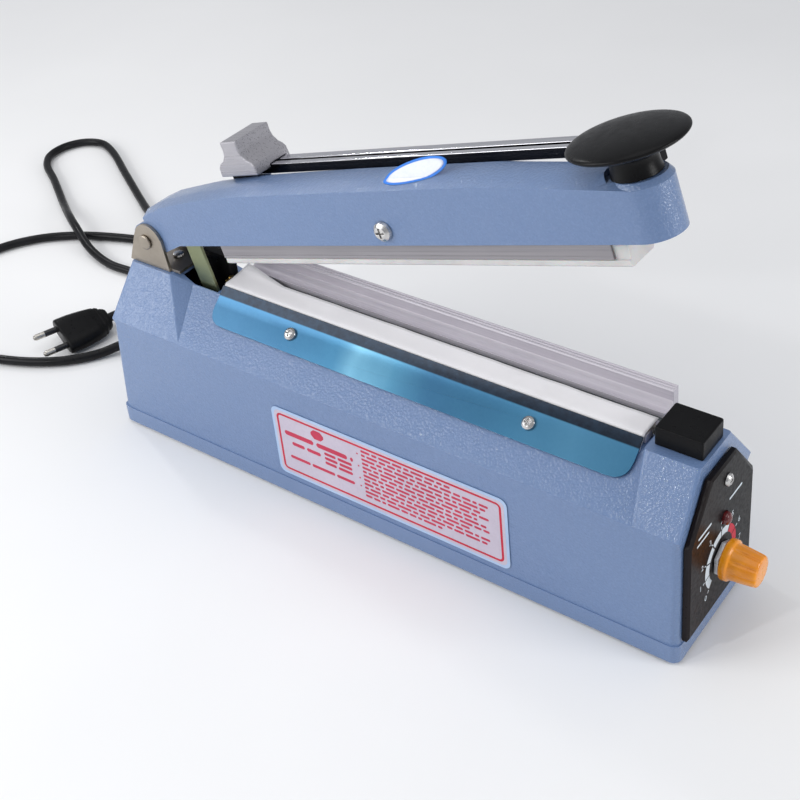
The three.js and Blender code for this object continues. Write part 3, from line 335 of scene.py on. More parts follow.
def panel_black():
    """Black panel with a faint brown sheen painted across one side: a painted sheen."""
    m = Material("black_panel", Specular_IOR_Level=0.1)
    # Towards one side the black is painted brown: a painted sheen.
    painted_sheen, middle, plain = (0.016, 0.012, 0.014), (0.011, 0.007, 0.007), (0.005, 0.005, 0.006)
    across = m.spread(m.axis(1), 0, 1, *PANEL_PAINTED_SHEEN_Y)
    shade = m.ramp(across, (0.0, painted_sheen), (0.45, middle), (1.0, plain))
    cloud = m.ramp(m.noise(60, 4), (0.3, (0.004, 0.004, 0.005)), (0.8, (0.012, 0.010, 0.011)))
    m.colour(m.mix(m.spread(m.noise(25, 2), 0.1, 0.5), shade, cloud))
    m.gloss(m.spread(m.noise(400, 3), 0.26, 0.42))
    m.bump(m.noise(1600, 2), 0.00003, 0.5)
    return m.data


def lamp_lens():
    m = Material("red_lens", Transmission_Weight=0.35, IOR=1.49, Coat_Weight=0.6, Coat_Roughness=0.05)
    m.colour(m.ramp(m.noise(300, 3), (0.3, (0.12, 0.003, 0.005)), (0.8, (0.26, 0.007, 0.009))))
    m.gloss(m.spread(m.noise(500, 2), 0.12, 0.22))
    m.bump(m.waves("Z", 900), 0.00004, 0.3)
    return m.data


def orange_plastic():
    m = Material("orange_plastic", Coat_Weight=0.6, Coat_Roughness=0.1, Specular_IOR_Level=0.3)
    m.colour(m.ramp(m.noise(70, 4), (0.3, (0.84, 0.270, 0.003)), (0.75, (0.95, 0.350, 0.006))))
    m.gloss(m.spread(m.noise(300, 3), 0.24, 0.38))
    m.bump(m.noise(900, 3), 0.00005, 0.5)
    return m.data


def cable_sheath():
    m = Material("cable_sheath", Specular_IOR_Level=0.2)
    m.colour(m.ramp(m.noise(80, 4), (0.3, (0.004, 0.004, 0.005)), (0.8, (0.012, 0.012, 0.014))))
    m.gloss(m.spread(m.noise(260, 3), 0.26, 0.42))
    m.bump(m.noise(700, 3), 0.00006, 0.4)
    return m.data


def label_face(name, low, high, dark):
    """Printed foil: a pale face, faintly clouded, with a fine darker grain."""
    m = Material(name, Coat_Weight=0.35, Coat_Roughness=0.25)
    clouded = m.ramp(m.noise(35, 4), (0.3, low), (0.75, high))
    grain = m.ramp(m.noise(700, 3), (0.3, dark), (0.7, high))
    m.colour(m.mix(m.spread(m.noise(160, 3), 0.05, 0.4), clouded, grain))
    m.gloss(m.spread(m.noise(220, 3), 0.36, 0.52))
    m.bump(m.noise(1200, 2), 0.00002, 0.4)
    return m.data


def ink(name, colour):
    return plastic(name, colour, 0.5, 0.3)


def pin_metal():
    """Plated pin whose half next to the plug is in a black sleeve."""
    m = Material("plug_pin", rough=0.3)
    ahead = m.node("ShaderNodeVectorMath", operation="DOT_PRODUCT")
    m.link(m.place, ahead.inputs[0])
    ahead.inputs[1].default_value = PLUG_AHEAD
    face = Vector(PLUG_FACE).dot(Vector(PLUG_AHEAD))
    bare = m.spread(ahead.outputs["Value"], 0, 1, *(face + end for end in SLEEVE_END))
    black = m.ramp(m.noise(200, 3), (0.3, (0.008, 0.008, 0.009)), (0.8, (0.020, 0.020, 0.022)))
    plate = m.ramp(m.noise(500, 3), (0.3, (0.42, 0.40, 0.36)), (0.75, (0.66, 0.64, 0.60)))
    m.colour(m.mix(bare, black, plate))
    m.link(bare, m.shader.inputs["Metallic"])
    m.gloss(m.spread(m.noise(300, 3), 0.2, 0.38))
    return m.data


def laminations():
    m = Material("laminated_core", metal=0.6)
    m.colour(m.ramp(m.waves("Y", 380, 0.4), (0.3, (0.035, 0.036, 0.040)), (0.7, (0.130, 0.130, 0.135))))
    m.gloss(m.spread(m.noise(200, 3), 0.4, 0.6))
    m.bump(m.waves("Y", 380), 0.0001, 0.6)
    return m.data


def winding():
    m = Material("enamelled_winding", metal=0.7)
    m.colour(m.ramp(m.waves("Z", 330, 0.3), (0.2, (0.16, 0.045, 0.015)), (0.8, (0.52, 0.20, 0.07))))
    m.gloss(m.spread(m.noise(300, 3), 0.25, 0.45))
    m.bump(m.waves("Z", 330, 0.3), 0.0002, 0.7)
    return m.data


# The plug's face, its heading and its roll, as in the CAD.
PLUG_FACE = (-0.3328, -0.0056, 0.0099)
PLUG_TURN = Matrix.Rotation(math.radians(160.6), 4, "Z") @ Matrix.Rotation(math.radians(-14), 4, "Y")
PLUG_PLACE = Matrix.Translation(PLUG_FACE) @ PLUG_TURN
PLUG_AHEAD = tuple(PLUG_TURN @ Vector((0, 1, 0)))

M = {
    "enamel": enamel(),
    "steel": steel("bright_zinc_plate", (0.62, 0.62, 0.65), 0.26),
    "screw": steel("screw_plate", (0.66, 0.65, 0.64), 0.22, 1500),
    "zinc": steel("bronze_zinc_plate", (0.400, 0.355, 0.300), 0.36, 500),
    "passivated": steel("green_passivated_zinc", (0.300, 0.330, 0.200), 0.34, 300),
    "chrome": rail_chrome(),
    "aluminium": bar_metal(),
    "holder": drawn_metal("holder_aluminium", (0.34, 0.325, 0.345), 0.34, 1.6, 0.5, -ARM_OPEN),
    "nut": drawn_metal("bright_nut", (0.88, 0.88, 0.90), 0.34, 0.3, 0.5),
    "film": film(),
    "ptfe": cloth_sheet(),
    "silicone": silicone(),
    "tape": plastic("amber_tape", (0.46, 0.26, 0.07), 0.4),
    "nichrome": drawn_metal("nichrome", (0.32, 0.30, 0.28), 0.4),
    "black": plastic("black_moulding", (0.004, 0.004, 0.0045), 0.30, Specular_IOR_Level=0.1),
    "knob": plastic("black_knob", (0.004, 0.004, 0.0045), 0.30, 0.9, Specular_IOR_Level=0.14),
    "panel": panel_black(),
    "rubber": plastic("black_rubber", (0.008, 0.008, 0.009), 0.62, 0.8, Specular_IOR_Level=0.35),
    "cast": drawn_metal("silver_casting", (0.45, 0.44, 0.47), 0.30, 0.5, 0.6, -ARM_OPEN),
    "orange": orange_plastic(),
    "lens": lamp_lens(),
    "brass": steel("brass", (0.62, 0.44, 0.16), 0.3),
    "board": plastic("green_board", (0.018, 0.120, 0.045), 0.45),
    "core": laminations(),
    "winding": winding(),
    "label": label_face("label_foil", (0.52, 0.46, 0.56), (0.60, 0.54, 0.64), (0.46, 0.41, 0.51)),
    "label_rim": label_face("label_rim", (0.36, 0.50, 0.74), (0.46, 0.60, 0.82), (0.33, 0.47, 0.70)),
    "sticker": label_face("sticker_face", (0.66, 0.70, 0.84), (0.80, 0.83, 0.92), (0.55, 0.62, 0.80)),
    "sticker_rim": ink("sticker_rim", (0.020, 0.200, 0.740)),
    "red_ink": ink("red_ink", (0.500, 0.002, 0.028)),
    "row_ink": ink("row_ink", (0.480, 0.020, 0.065)),
    "white_ink": ink("white_ink", (0.60, 0.68, 0.74)),
    "cable": cable_sheath(),
    "pins": pin_metal(),
}


# ---- Mesh helpers ----

def smooth_group():
    group = bpy.data.node_groups.new("shade_smooth", "GeometryNodeTree")
    group.interface.new_socket("Geometry", in_out="INPUT", socket_type="NodeSocketGeometry")
    group.interface.new_socket("Geometry", in_out="OUTPUT", socket_type="NodeSocketGeometry")
    start = group.nodes.new("NodeGroupInput")
    end = group.nodes.new("NodeGroupOutput")
    smooth = group.nodes.new("GeometryNodeSetShadeSmooth")
    group.links.new(start.outputs[0], smooth.inputs["Geometry"])
    group.links.new(smooth.outputs[0], end.inputs[0])
    return group


SMOOTH = smooth_group()


WELD_WITHIN = 2e-6
FLAT_WITHIN = math.radians(0.6)
SHARP_OVER = math.radians(30)


def dress(node, material, bevel, segments=2):
    """A CAD node keeps its mesh, and modifiers round its edges and shade it. The bevel is in millimetres."""
    piece = NODES[node]
    piece.data.materials.clear()
    piece.data.materials.append(M[material])
    weld = piece.modifiers.new("weld", "WELD")
    weld.merge_threshold = WELD_WITHIN
    planar = piece.modifiers.new("planar", "DECIMATE")
    planar.decimate_type = "DISSOLVE"
    planar.angle_limit = FLAT_WITHIN
    shade = piece.modifiers.new("smooth", "NODES")
    shade.node_group = SMOOTH
    if bevel:
        rounding = piece.modifiers.new("bevel", "BEVEL")
        rounding.width = bevel * MM
        rounding.segments = segments
        rounding.limit_method = "ANGLE"
        rounding.angle_limit = SHARP_OVER
        rounding.miter_outer = "MITER_ARC"
        rounding.use_clamp_overlap = True
        rounding.harden_normals = False
        weighted = piece.modifiers.new("weighted", "WEIGHTED_NORMAL")
        weighted.keep_sharp = True


def add(name, mesh, body, material, replaces=(), smooth=True):
    piece = bpy.data.objects.new(name, mesh)
    bpy.context.scene.collection.objects.link(piece)
    mesh.materials.append(M[material])
    if smooth:
        for polygon in mesh.polygons:
            polygon.use_smooth = True
    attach(piece, body)
    if replaces:
        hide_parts(*replaces)
    return piece


def rings_mesh(name, rings, closed=True, caps=True):
    """A skin over rows of points. Each row closes on itself when closed is true."""
    size = len(rings[0])
    points = [p for ring in rings for p in ring]
    faces = []
    for r in range(len(rings) - 1):
        for i in range(size if closed else size - 1):
            a, b = r * size + i, r * size + (i + 1) % size
            faces.append((a, b, b + size, a + size))
    if caps:
        last = (len(rings) - 1) * size
        faces.append(tuple(range(size))[::-1])
        faces.append(tuple(range(last, last + size)))
    mesh = bpy.data.meshes.new(name)
    mesh.from_pydata([tuple(p) for p in points], [], faces)
    work = bmesh.new()
    work.from_mesh(mesh)
    bmesh.ops.recalc_face_normals(work, faces=work.faces)
    work.to_mesh(mesh)
    work.free()
    return mesh


LEAST_GAP = 1e-4


def curve_through(points, per_span):
    """A smooth centripetal curve through the points, with its ends carried straight on."""
    points = [Vector(p) for p in points]
    padded = [2 * points[0] - points[1], *points, 2 * points[-1] - points[-2]]
    out = []
    for p0, p1, p2, p3 in zip(padded, padded[1:], padded[2:], padded[3:]):
        d0, d1, d2 = (max((b - a).length ** 0.5, LEAST_GAP) for a, b in ((p0, p1), (p1, p2), (p2, p3)))
        t1 = ((p1 - p0) / d0 - (p2 - p0) / (d0 + d1) + (p2 - p1) / d1) * d1
        t2 = ((p2 - p1) / d1 - (p3 - p1) / (d1 + d2) + (p3 - p2) / d2) * d1
        square = 3 * (p2 - p1) - 2 * t1 - t2
        cube = 2 * (p1 - p2) + t1 + t2
        for i in range(per_span):
            t = i / per_span
            out.append(p1 + t1 * t + square * t * t + cube * t ** 3)
    out.append(points[-1])
    return out


# A profile's end on the axis is opened this far, in millimetres, so that its ring is never one point.
LEAST_RADIUS = 0.02


def lathe(name, profile, place, sides, wobble=None):
    """A turned skin. The profile is [radius, height] in millimetres; wobble(angle, height) scales a radius."""
    rings = []
    for radius, height in profile:
        ring = []
        for i in range(sides):
            angle = 2 * math.pi * i / sides
            r = max(radius, LEAST_RADIUS) * (wobble(angle, height) if wobble else 1)
            ring.append(place @ Vector((r * math.cos(angle) * MM, r * math.sin(angle) * MM, height * MM)))
        rings.append(ring)
    return rings_mesh(name, rings)


def rounded_profile(points, per_span):
    return [(p.x, p.y) for p in curve_through([(r, h, 0) for r, h in points], per_span)]


def plates(name, outlines, place, thickness):
    """Thin flat pieces as one mesh. Each outline is a list of [u, v] in millimetres in the plane of place."""
    work = bmesh.new()
    for outline in outlines:
        lower = [work.verts.new(place @ Vector((u * MM, v * MM, 0))) for u, v in outline]
        upper = [work.verts.new(place @ Vector((u * MM, v * MM, thickness * MM))) for u, v in outline]
        work.faces.new(lower[::-1])
        work.faces.new(upper)
        count = len(outline)
        for i in range(count):
            j = (i + 1) % count
            work.faces.new((lower[i], lower[j], upper[j], upper[i]))
    bmesh.ops.recalc_face_normals(work, faces=work.faces)
    mesh = bpy.data.meshes.new(name)
    work.to_mesh(mesh)
    work.free()
    return mesh


def bar(u0, u1, v0, v1, r=0.3):
    """A flat bar with clipped corners."""
    r = min(r, (u1 - u0) / 2.2, (v1 - v0) / 2.2)
    return [(u0 + r, v0), (u1 - r, v0), (u1, v0 + r), (u1, v1 - r), (u1 - r, v1), (u0 + r, v1), (u0, v1 - r),
            (u0, v0 + r)]


def sector(radius_in, radius_out, start, end, steps=10):
    angles = [math.radians(start + (end - start) * i / steps) for i in range(steps + 1)]
    outer = [(radius_out * math.cos(a), radius_out * math.sin(a)) for a in angles]
    inner = [(radius_in * math.cos(a), radius_in * math.sin(a)) for a in reversed(angles)]
    return outer + inner


def rounded_frame(u0, u1, v0, v1, r, width):
    """The outlines of a rounded rectangular line, as short closed pieces. Each corner turns in 15 degree steps."""
    corners = [(u1 - r, v0 + r, -90), (u1 - r, v1 - r, 0), (u0 + r, v1 - r, 90), (u0 + r, v0 + r, 180)]
    turns = [(cu, cv, math.radians(start + 15 * i)) for cu, cv, start in corners for i in range(7)]

    def loop(inset):
        radius = r - inset
        return [(cu + radius * math.cos(a), cv + radius * math.sin(a)) for cu, cv, a in turns]

    outer, inner = loop(0), loop(width)
    count = len(outer)
    return [[outer[i], outer[(i + 1) % count], inner[(i + 1) % count], inner[i]] for i in range(count)]


def printed(name, outlines, place, thickness, colour):
    """Flat printing on the base, as thin plates."""
    add(name, plates(name, outlines, place, thickness), "base", colour, smooth=False)


# ---- Mains cord and plug ----

CORD_RADIUS = 0.0035
# The height of the cord's middle where it lies on the floor.
CORD_LIES_AT = 0.0038
# From the plug's face back to the end of its tail, in millimetres.
PLUG_TAIL = 38.3
PLUG_SIDES = 48


def mains_cord():
    low = CORD_LIES_AT
    gland_low, gland_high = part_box("cord_gland")
    mid_y = (gland_low.y + gland_high.y) / 2
    start_z = (gland_low.z + gland_high.z) / 2
    behind = [PLUG_PLACE @ Vector((0, -(PLUG_TAIL + distance) * MM, 0)) for distance in (12, 0)]
    route = [
        (-0.2534, mid_y, start_z), (-0.2603, mid_y, start_z), (-0.2673, 0.0238, 0.0129), (-0.2753, 0.022, 0.0114),
        (-0.2843, 0.017, 0.0086), (-0.2911, 0.0099, 0.0059), (-0.2973, 0.001, low + 0.0003),
        (-0.3048, -0.0095, low), (-0.3173, -0.022, low), (-0.3373, -0.0345, low), (-0.3603, -0.044, low),
        (-0.3903, -0.0525, low), (-0.4233, -0.054, low), (-0.4553, -0.044, low), (-0.4813, -0.022, low),
        (-0.4963, 0.008, low), (-0.4973, 0.038, low), (-0.4873, 0.07, low), (-0.4693, 0.094, low),
        (-0.4423, 0.113, low), (-0.4063, 0.128, low), (-0.3723, 0.1375, low), (-0.3383, 0.1475, low),
        (-0.3183, 0.155, low), (-0.2993, 0.1628, low), (-0.2823, 0.165, low), (-0.2655, 0.1565, low),
        (-0.2573, 0.136, low), (-0.2655, 0.1155, low), (-0.2823, 0.107, low), (-0.3023, 0.1085, low),
        (-0.3213, 0.115, low + 0.0003), (-0.3403, 0.124, low + 0.0036), (-0.3583, 0.133, low + 0.007),
        (-0.3753, 0.143, low + 0.0076), (-0.4043, 0.161, low + 0.003), (-0.4383, 0.181, low),
        (-0.4883, 0.21, low), (-0.5373, 0.238, low), (-0.5569, 0.2434, low), (-0.5738, 0.2365, low),
        (-0.5835, 0.2208, low), (-0.5825, 0.2025, low), (-0.5703, 0.1875, low), (-0.5423, 0.171, low),
        (-0.4963, 0.142, low + 0.001), (-0.4643, 0.122, low + 0.0074), (-0.4463, 0.1125, low + 0.0076),
        (-0.4163, 0.0995, low + 0.002), (-0.3863, 0.0925, low), (-0.3623, 0.093, low), (-0.3413, 0.094, low),
        (-0.3223, 0.0865, low), (-0.3123, 0.072, low + 0.0015), (-0.3103, 0.058, low + 0.0042), *behind]
    data = bpy.data.curves.new("mains_cord", "CURVE")
    data.dimensions = "3D"
    data.bevel_depth = CORD_RADIUS
    data.bevel_resolution = 5
    data.use_fill_caps = True
    line = curve_through(route, 6)
    spline = data.splines.new("POLY")
    spline.points.add(len(line) - 1)
    for point, place in zip(spline.points, line):
        point.co = (*place, 1)
    spline.use_smooth = True
    data.materials.append(M["cable"])
    cord = bpy.data.objects.new("mains_cord", data)
    bpy.context.scene.collection.objects.link(cord)
    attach(cord, "base")
    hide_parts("cord")
    return cord


def plug():
    """A flat two-pin plug: six-sided face, narrowing grip and a stepped tail that holds the cord.

    Each station is its place behind the face, half width and half height, in millimetres. The body is squarer
    in section than the tail, and its outer sides slope in.
    """
    stations = [
        (-0.05, 16.6, 5.6), (-0.7, 17.4, 6.4), (-2, 17.5, 6.5), (-9.5, 17.5, 6.5), (-11.5, 17.3, 6.5),
        (-15, 17.0, 6.5), (-20, 16.2, 6.5), (-25, 15.3, 6.5), (-29.4, 14.3, 6.4), (-30, 13.6, 6.0),
        (-31, 13.3, 5.9), (-31.6, 13.4, 6.1), (-33, 12.2, 5.9), (-33.6, 11.4, 5.5), (-34.4, 11.1, 5.4),
        (-35, 11.0, 5.6), (-37, 9.4, 5.2), (-38, 8.2, 4.8)]
    rings = []
    for y, width, height in stations:
        ring = []
        for i in range(PLUG_SIDES):
            angle = 2 * math.pi * i / PLUG_SIDES
            c, s = math.cos(angle), math.sin(angle)
            sharp = 4.2 if width > 12 else 2.8
            scale = (abs(c) ** sharp + abs(s) ** sharp) ** (-1 / sharp)
            u, v = width * c * scale, height * s * scale
            v *= 1 - 0.32 * max(0, (abs(u) / width - 0.72) / 0.28)
            ring.append(PLUG_PLACE @ Vector((u * MM, y * MM, v * MM)))
        rings.append(ring)
    piece = add("plug_shell", rings_mesh("plug_shell", rings), "base", "black", ["plug_body"])
    rounding = piece.modifiers.new("bevel", "BEVEL")
    rounding.width = 0.0003
    rounding.segments = 2
    rounding.limit_method = "ANGLE"
    rounding.angle_limit = math.radians(50)
    return piece


CORD = mains_cord()
PLUG = plug()
for pin in ("plug_pin_1", "plug_pin_2"):
    dress(pin, "pins", 0.3)
dress("cord_gland", "rubber", 0.4)


# ---- CAD pieces that keep their shape ----

dress("housing", "enamel", 1.3, 3)
dress("arm", "enamel", 0.9, 3)
dress("base_plate", "steel", 0.2)
for i in (1, 2, 3, 4):
    dress(f"foot_{i}", "rubber", 0.2)
    dress(f"base_screw_{i}", "screw", 0.2)
dress("hinge_bracket", "zinc", 0.35, 3)
dress("hinge_pin", "zinc", 0.3)
for screw in ("bracket_screw_1", "bracket_screw_2"):
    dress(screw, "screw", 0.3)
dress("sealing_bar", "aluminium", 0.25)
dress("insulation_tape", "tape", 0)
dress("heating_element", "nichrome", 0)
dress("terminal_1", "brass", 0.15)
dress("terminal_2", "screw", 0.15)
dress("clamp_plate", "film", 0.3)
for screw in ("clamp_screw_1", "clamp_screw_2", "panel_screw", "arm_screw_1", "arm_screw_2", "holder_screw_1",
              "holder_screw_2"):
    dress(screw, "screw", 0.15)
dress("end_block", "black", 0.6, 3)
dress("control_panel", "panel", 0.5, 3)
dress("indicator_lamp", "lens", 0.3)
dress("pot_nut", "nut", 0.4)
for part in ("potentiometer", "pot_shaft", "switch_lever", "return_spring", "blade", "knob_stud",
             "strap_pin"):
    dress(part, "steel", 0.25)
dress("transformer_core", "core", 0.4)
dress("transformer_coil", "winding", 1.5, 3)
dress("timer_board", "board", 0.2)
dress("microswitch", "black", 0.4)
# The black terminal block stands in the well behind the strap, where there is only shade: a dark stand-in for
# painted shade.
dress("terminal_block", "black", 0.4)
dress("link_strap", "passivated", 0.25)
dress("label_plate", "label_rim", 0.05)
dress("strip_holder", "holder", 0.15)
dress("silicone_strip", "silicone", 0.3)
dress("cutter_rail", "chrome", 0.9, 3)
dress("rail_mount", "black", 0.5)
dress("rail_cap", "black", 0.7)
dress("carriage", "cast", 0.9, 3)


# ---- Handle knob ----

def handle_knob():
    axis_x, base = 375.2, 28.0
    place = ON_ARM @ Matrix.Translation((axis_x * MM, 0, base * MM))
    profile = rounded_profile([
        (13.35, 0.05), (13.3, 0.5), (12.9, 2.0), (12.65, 4.5), (12.6, 7.0), (12.9, 8.8), (13.9, 10.5),
        (16.2, 11.9), (19.6, 13.0), (23.6, 14.1), (27.4, 15.3), (29.9, 16.4), (31.05, 17.6), (30.6, 18.7),
        (28.9, 19.65), (25.5, 20.6), (20.5, 21.5), (14.5, 22.2), (8, 22.6), (0, 22.75)], 4)
    add("mushroom_knob", lathe("mushroom_knob", profile, place, 128), "arm", "knob", ["handle_knob"])


handle_knob()


# ---- Timer knob, nut face and dial ----

FACE_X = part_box("control_panel")[1].x
SHAFT_LOW, SHAFT_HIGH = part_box("pot_shaft")
DIAL = Vector((FACE_X, (SHAFT_LOW.y + SHAFT_HIGH.y) / 2, (SHAFT_LOW.z + SHAFT_HIGH.z) / 2))
# In the panel's plane u runs along +Y, v along +Z and the normal is +X.
FACE = Matrix.Translation(DIAL) @ Matrix(((0, 0, 1, 0), (1, 0, 0, 0), (0, 1, 0, 0), (0, 0, 0, 1)))


def timer_knob():
    skirt, fade, count, deepest = 5, 3, 9, 0.075

    def flutes(angle, height):
        """Grooves that begin at the skirt's top and reach their full depth a little higher."""
        if height <= skirt:
            return 1
        part = (angle / (2 * math.pi) * count) % 1
        depth = max(0, 1 - abs(part - 0.5) / 0.2)
        ease = min(1, (height - skirt) / fade)
        return 1 - deepest * ease * depth * depth * (3 - 2 * depth)

    rise = (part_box("timer_knob")[0].x - FACE_X) / MM
    profile = [
        (9.8, 0.05), (11.3, 0.0), (11.75, 0.35), (11.9, 0.9), (11.9, 3.6), (11.6, 4.2), (10.9, 4.6), (10.5, 5.0),
        (10.4, 6), (10.25, 8), (10.0, 11), (9.7, 14), (9.4, 17), (9.15, 19), (8.85, 20), (8.3, 20.5),
        (7.2, 20.7), (5, 20.75), (2.5, 20.75), (0, 20.75)]
    place = FACE @ Matrix.Translation((0, 0, rise * MM))
    piece = add("fluted_knob", lathe("fluted_knob", profile, place, 144, flutes), "timer", "orange",
                ["timer_knob"])
    piece.modifiers.new("smooth", "SUBSURF").render_levels = 1


def dial():
    """Nine numbers and ticks around the knob, with five white sectors and three red ones between them."""
    print_depth, number_radius = 0.06, 24.2
    marked = [225 - 33.75 * i for i in range(9)]
    arcs = [sector(13.9, 18.6, start - 1.6, end + 1.6) for start, end in zip(marked, marked[1:])]
    ticks = [sector(19.4, 21.2, at - 1, at + 1, 2) for at in marked]
    printed("dial_sectors", arcs[:5] + ticks, FACE, print_depth, "white_ink")
    printed("dial_end", arcs[5:], FACE, print_depth, "red_ink")
    work = bmesh.new()
    for number, turn in enumerate(marked):
        angle = math.radians(turn)
        text = bpy.data.curves.new("digit", "FONT")
        text.body = str(number)
        text.size = 0.0052
        text.align_x = "CENTER"
        text.align_y = "CENTER"
        text.extrude = 0.00003
        text.resolution_u = 4
        holder = bpy.data.objects.new("digit", text)
        mesh = bpy.data.meshes.new_from_object(holder)
        at = Vector((number_radius * math.cos(angle) * MM, number_radius * math.sin(angle) * MM, 0.00004))
        mesh.transform(FACE @ Matrix.Translation(at))
        work.from_mesh(mesh)
        bpy.data.meshes.remove(mesh)
        bpy.data.objects.remove(holder)
        bpy.data.curves.remove(text)
    digits = bpy.data.meshes.new("dial_numbers")
    work.to_mesh(digits)
    work.free()
    add("dial_numbers", digits, "base", "white_ink", smooth=False)
    marks = [bar(-28, -13, 33.2, 34.6), bar(-29.5, -15.5, 29.2, 30.4), bar(8.5, 24, 33.2, 34.6)]
    printed("panel_marks", marks, FACE, print_depth, "white_ink")


timer_knob()
dial()


# ---- Label on the front ----

def words(start, end, v, half, lengths):
    """A row of dashes in place of print, with lengths that repeat."""
    made, u, i = [], start, 0
    while u + 1.5 < end:
        stop = min(u + lengths[i % len(lengths)], end)
        made.append(bar(u, stop, v - half, v + half, half * 0.6))
        u, i = stop + half * 1.4, i + 1
    return made


def front_label():
    foil, print_depth, pitch = 0.03, 0.04, 3.15
    low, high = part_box("label_plate")
    middle = Vector(((low.x + high.x) / 2, low.y, (low.z + high.z) / 2))
    place = Matrix.Translation(middle) @ Matrix(((1, 0, 0, 0), (0, 0, -1, 0), (0, 1, 0, 0), (0, 0, 0, 1)))
    half_u, half_v = (high.x - low.x) / 2 / MM, (high.z - low.z) / 2 / MM
    face = rounded_frame(-half_u + 2, half_u - 2, -half_v + 2, half_v - 2, 4, 3.9)
    outline = [quad[0] for quad in face]
    printed("label_face", [outline], place, foil, "label")
    line = rounded_frame(-half_u + 4, half_u - 4, -half_v + 4, half_v - 4, 3.6, 1.5)
    lift = place @ Matrix.Translation((0, 0, foil * MM))
    printed("label_line", line, lift, print_depth, "red_ink")
    rows = []
    for row in (
            (-78, -24, 8.4, 1.75, (23, 24)), (-73, -50, 1.2, 1.35, (10, 11)), (-47, -25, 4.0, 1.1, (9, 11)),
            (-47, -25, 0.4, 1.1, (10, 10)), (-47, -25, -3.2, 1.1, (9, 11)), (-76, -23, -10.2, 1.15, (16, 18, 14))):
        rows += words(*row)
    rows.append(bar(-56, -46, 12.6, 19.6, 2.5))
    for i, end in enumerate((48, 74, 74, 71, 74, 66, 74, 74, 60, 74, 72, 40)):
        lengths = ((7, 4, 9), (3, 8, 5, 6), (10, 4, 7), (5, 5, 3, 9))[i % 4]
        rows += words(-17, end, 18.6 - i * pitch, 0.86, lengths)
        if i in (1, 4, 7, 9):
            rows.append(bar(-20.5, -19.3, 18.0 - i * pitch, 19.2 - i * pitch))
    printed("label_rows", rows, lift, print_depth, "row_ink")


front_label()


# ---- Sheet over the sealing bar ----

def sealing_sheet():
    """A section of [y, z] millimetres from the bar's top, back edge first, drawn along the bar.

    The back edge waves a little. At the left end it lifts and reaches back, and the rows under the clamp
    plate draw in.
    """
    low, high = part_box("ptfe_sheet")
    top = high.z
    section = [
        (8.6, 0), (6, 0), (3, 0), (0, 0), (-3, 0), (-5.6, -0.02), (-6.6, -0.25), (-7.35, -0.9), (-7.9, -1.8),
        (-9.6, -3.8), (-11.6, -5.95), (-13.2, -7.5), (-16.5, -10.2), (-20.5, -13.4), (-24.9, -16.9)]
    count, lifted_length = 150, 36
    rows = []
    for i in range(count + 1):
        u = i / count
        x = low.x + (high.x - low.x) * u
        from_left = (x - low.x) / MM
        rows.append([])
        for y, z in section:
            back = max(0.0, (y + 2) / 10.6)
            wave = 0.16 * math.sin(from_left * 0.11) * back + 0.10 * math.sin(from_left * 0.27 + y * 0.6) * back
            fold = max(0.0, 1 - from_left / lifted_length)
            lift = 2.4 * fold * back ** 2
            reach = 7.5 * fold * back ** 2
            inset = 12 * max(0.0, (-y - 13.5) / 11.4) * (1 - 2 * u)
            height = z + max(wave, -0.05) + lift - 0.02
            rows[-1].append((x + inset * MM, (y + reach) * MM, top + height * MM))
    mesh = rings_mesh("sealing_sheet", rows, closed=False, caps=False)
    piece = add("sealing_sheet", mesh, "base", "ptfe", ["ptfe_sheet"])
    thick = piece.modifiers.new("thickness", "SOLIDIFY")
    thick.thickness = 0.00022
    thick.offset = -1


sealing_sheet()


# ---- Oval sticker on the arm ----

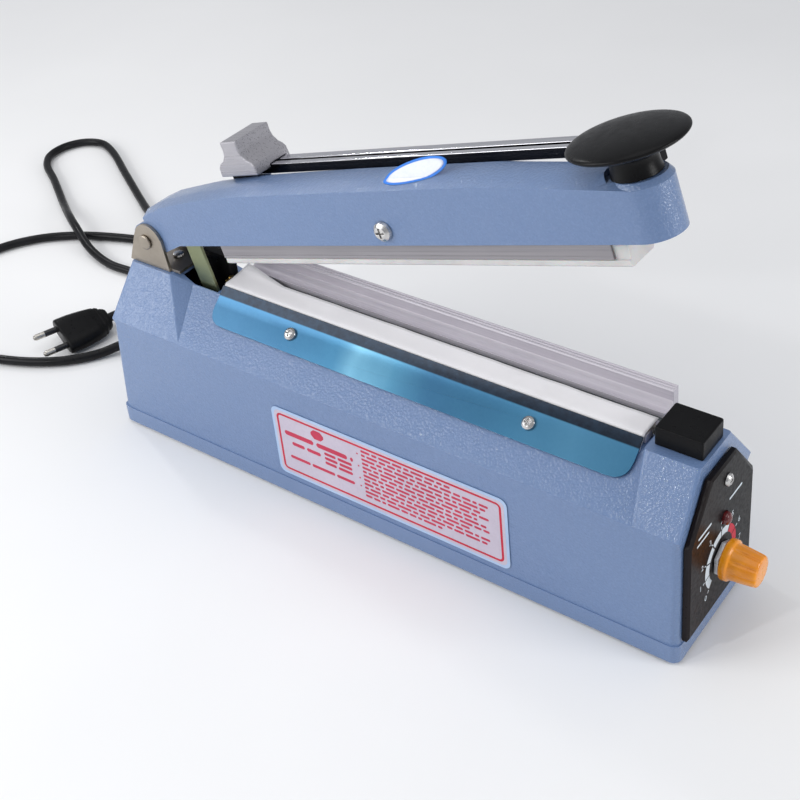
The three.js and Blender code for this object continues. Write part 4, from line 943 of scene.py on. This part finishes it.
def oval_sticker():
    """An oval that lies on the front chamfer and folds over onto the flat top of the arm."""
    side, top, half, flat_half = 30.3, 34.0, 16.0, 7.0
    turn, sides, steps = math.radians(12), 96, 12
    slope = math.atan2(top - side, half - flat_half)
    run = math.hypot(top - side, half - flat_half)

    def on_arm(u, v):
        low, stand = min(v, -1.0), max(0.0, v + 1.0)
        return ON_ARM @ Vector(((241.7 + u) * MM, (-flat_half + low * math.cos(slope) + 0.5 * stand) * MM,
                                (top + 0.12 + low * math.sin(slope) + 0.87 * stand) * MM))

    def oval(half_length, half_width, raised):
        rings = []
        for k in range(steps):
            share = 1 - k / steps
            ring = []
            for i in range(sides):
                a = 2 * math.pi * i / sides
                p, q = half_length * share * math.cos(a), half_width * share * math.sin(a)
                u, v = p * math.cos(turn) - q * math.sin(turn), p * math.sin(turn) + q * math.cos(turn)
                place = on_arm(u, max(v + 2.0, -run + 0.6))
                ring.append(place + (ON_ARM.to_3x3() @ Vector((0, -1, 1))) * raised * MM)
            rings.append(ring)
        mesh = rings_mesh("oval", rings, caps=False)
        work = bmesh.new()
        work.from_mesh(mesh)
        work.verts.ensure_lookup_table()
        work.faces.new(work.verts[-sides:])
        work.to_mesh(mesh)
        work.free()
        return mesh

    rim = add("sticker_rim", oval(22.5, 6.6, 0.0), "arm", "sticker_rim")
    face = add("sticker_face", oval(20.3, 5.1, 0.12), "arm", "sticker")
    for piece in (rim, face):
        thick = piece.modifiers.new("thickness", "SOLIDIFY")
        thick.thickness = 0.0001
        thick.offset = 1


oval_sticker()


# ---- Studio ----

def studio():
    size, level = 6.0, -0.0004
    corners = [(-size, -size, level), (size, -size, level), (size, size, level), (-size, size, level)]
    mesh = bpy.data.meshes.new("floor")
    mesh.from_pydata(corners, [], [(0, 1, 2, 3)])
    floor = bpy.data.objects.new("floor", mesh)
    bpy.context.scene.collection.objects.link(floor)
    m = Material("pale_floor", Specular_IOR_Level=0.1)
    m.colour(m.ramp(m.noise(3, 3), (0.3, (0.88, 0.88, 0.88)), (0.7, (0.92, 0.92, 0.92))))
    m.gloss(m.spread(m.noise(20, 2), 0.8, 0.95))
    mesh.materials.append(m.data)
    world = bpy.data.worlds.new("studio")
    world.use_nodes = True
    background = world.node_tree.nodes["Background"]
    background.inputs["Color"].default_value = (0.93, 0.95, 1.0, 1)
    background.inputs["Strength"].default_value = 0.45
    bpy.context.scene.world = world

    def area(name, place, target, side, power):
        data = bpy.data.lights.new(name, "AREA")
        data.shape = "RECTANGLE"
        data.size, data.size_y = side, side
        data.energy = power
        lamp = bpy.data.objects.new(name, data)
        bpy.context.scene.collection.objects.link(lamp)
        lamp.location = place
        lamp.rotation_euler = (Vector(target) - Vector(place)).to_track_quat("-Z", "Y").to_euler()

    area("key", (-0.85, -0.80, 0.65), (-0.05, 0, 0.1), 0.7, 7)
    area("top", (0.0, -0.1, 2.2), (0, 0, 0.1), 2.0, 11)
    area("fill", (1.3, 0.25, 0.55), (0.2, 0, 0.06), 0.5, 6)
    area("deck_glint", (-0.26, -0.98, 0.67), (0.19, -0.03, 0.1), 0.05, 1.8)
    area("arm_glint", (-1.1, 0.3, 0.85), (0, 0, 0.2), 0.08, 1.5)
    bpy.context.scene.view_settings.view_transform = "Standard"


studio()
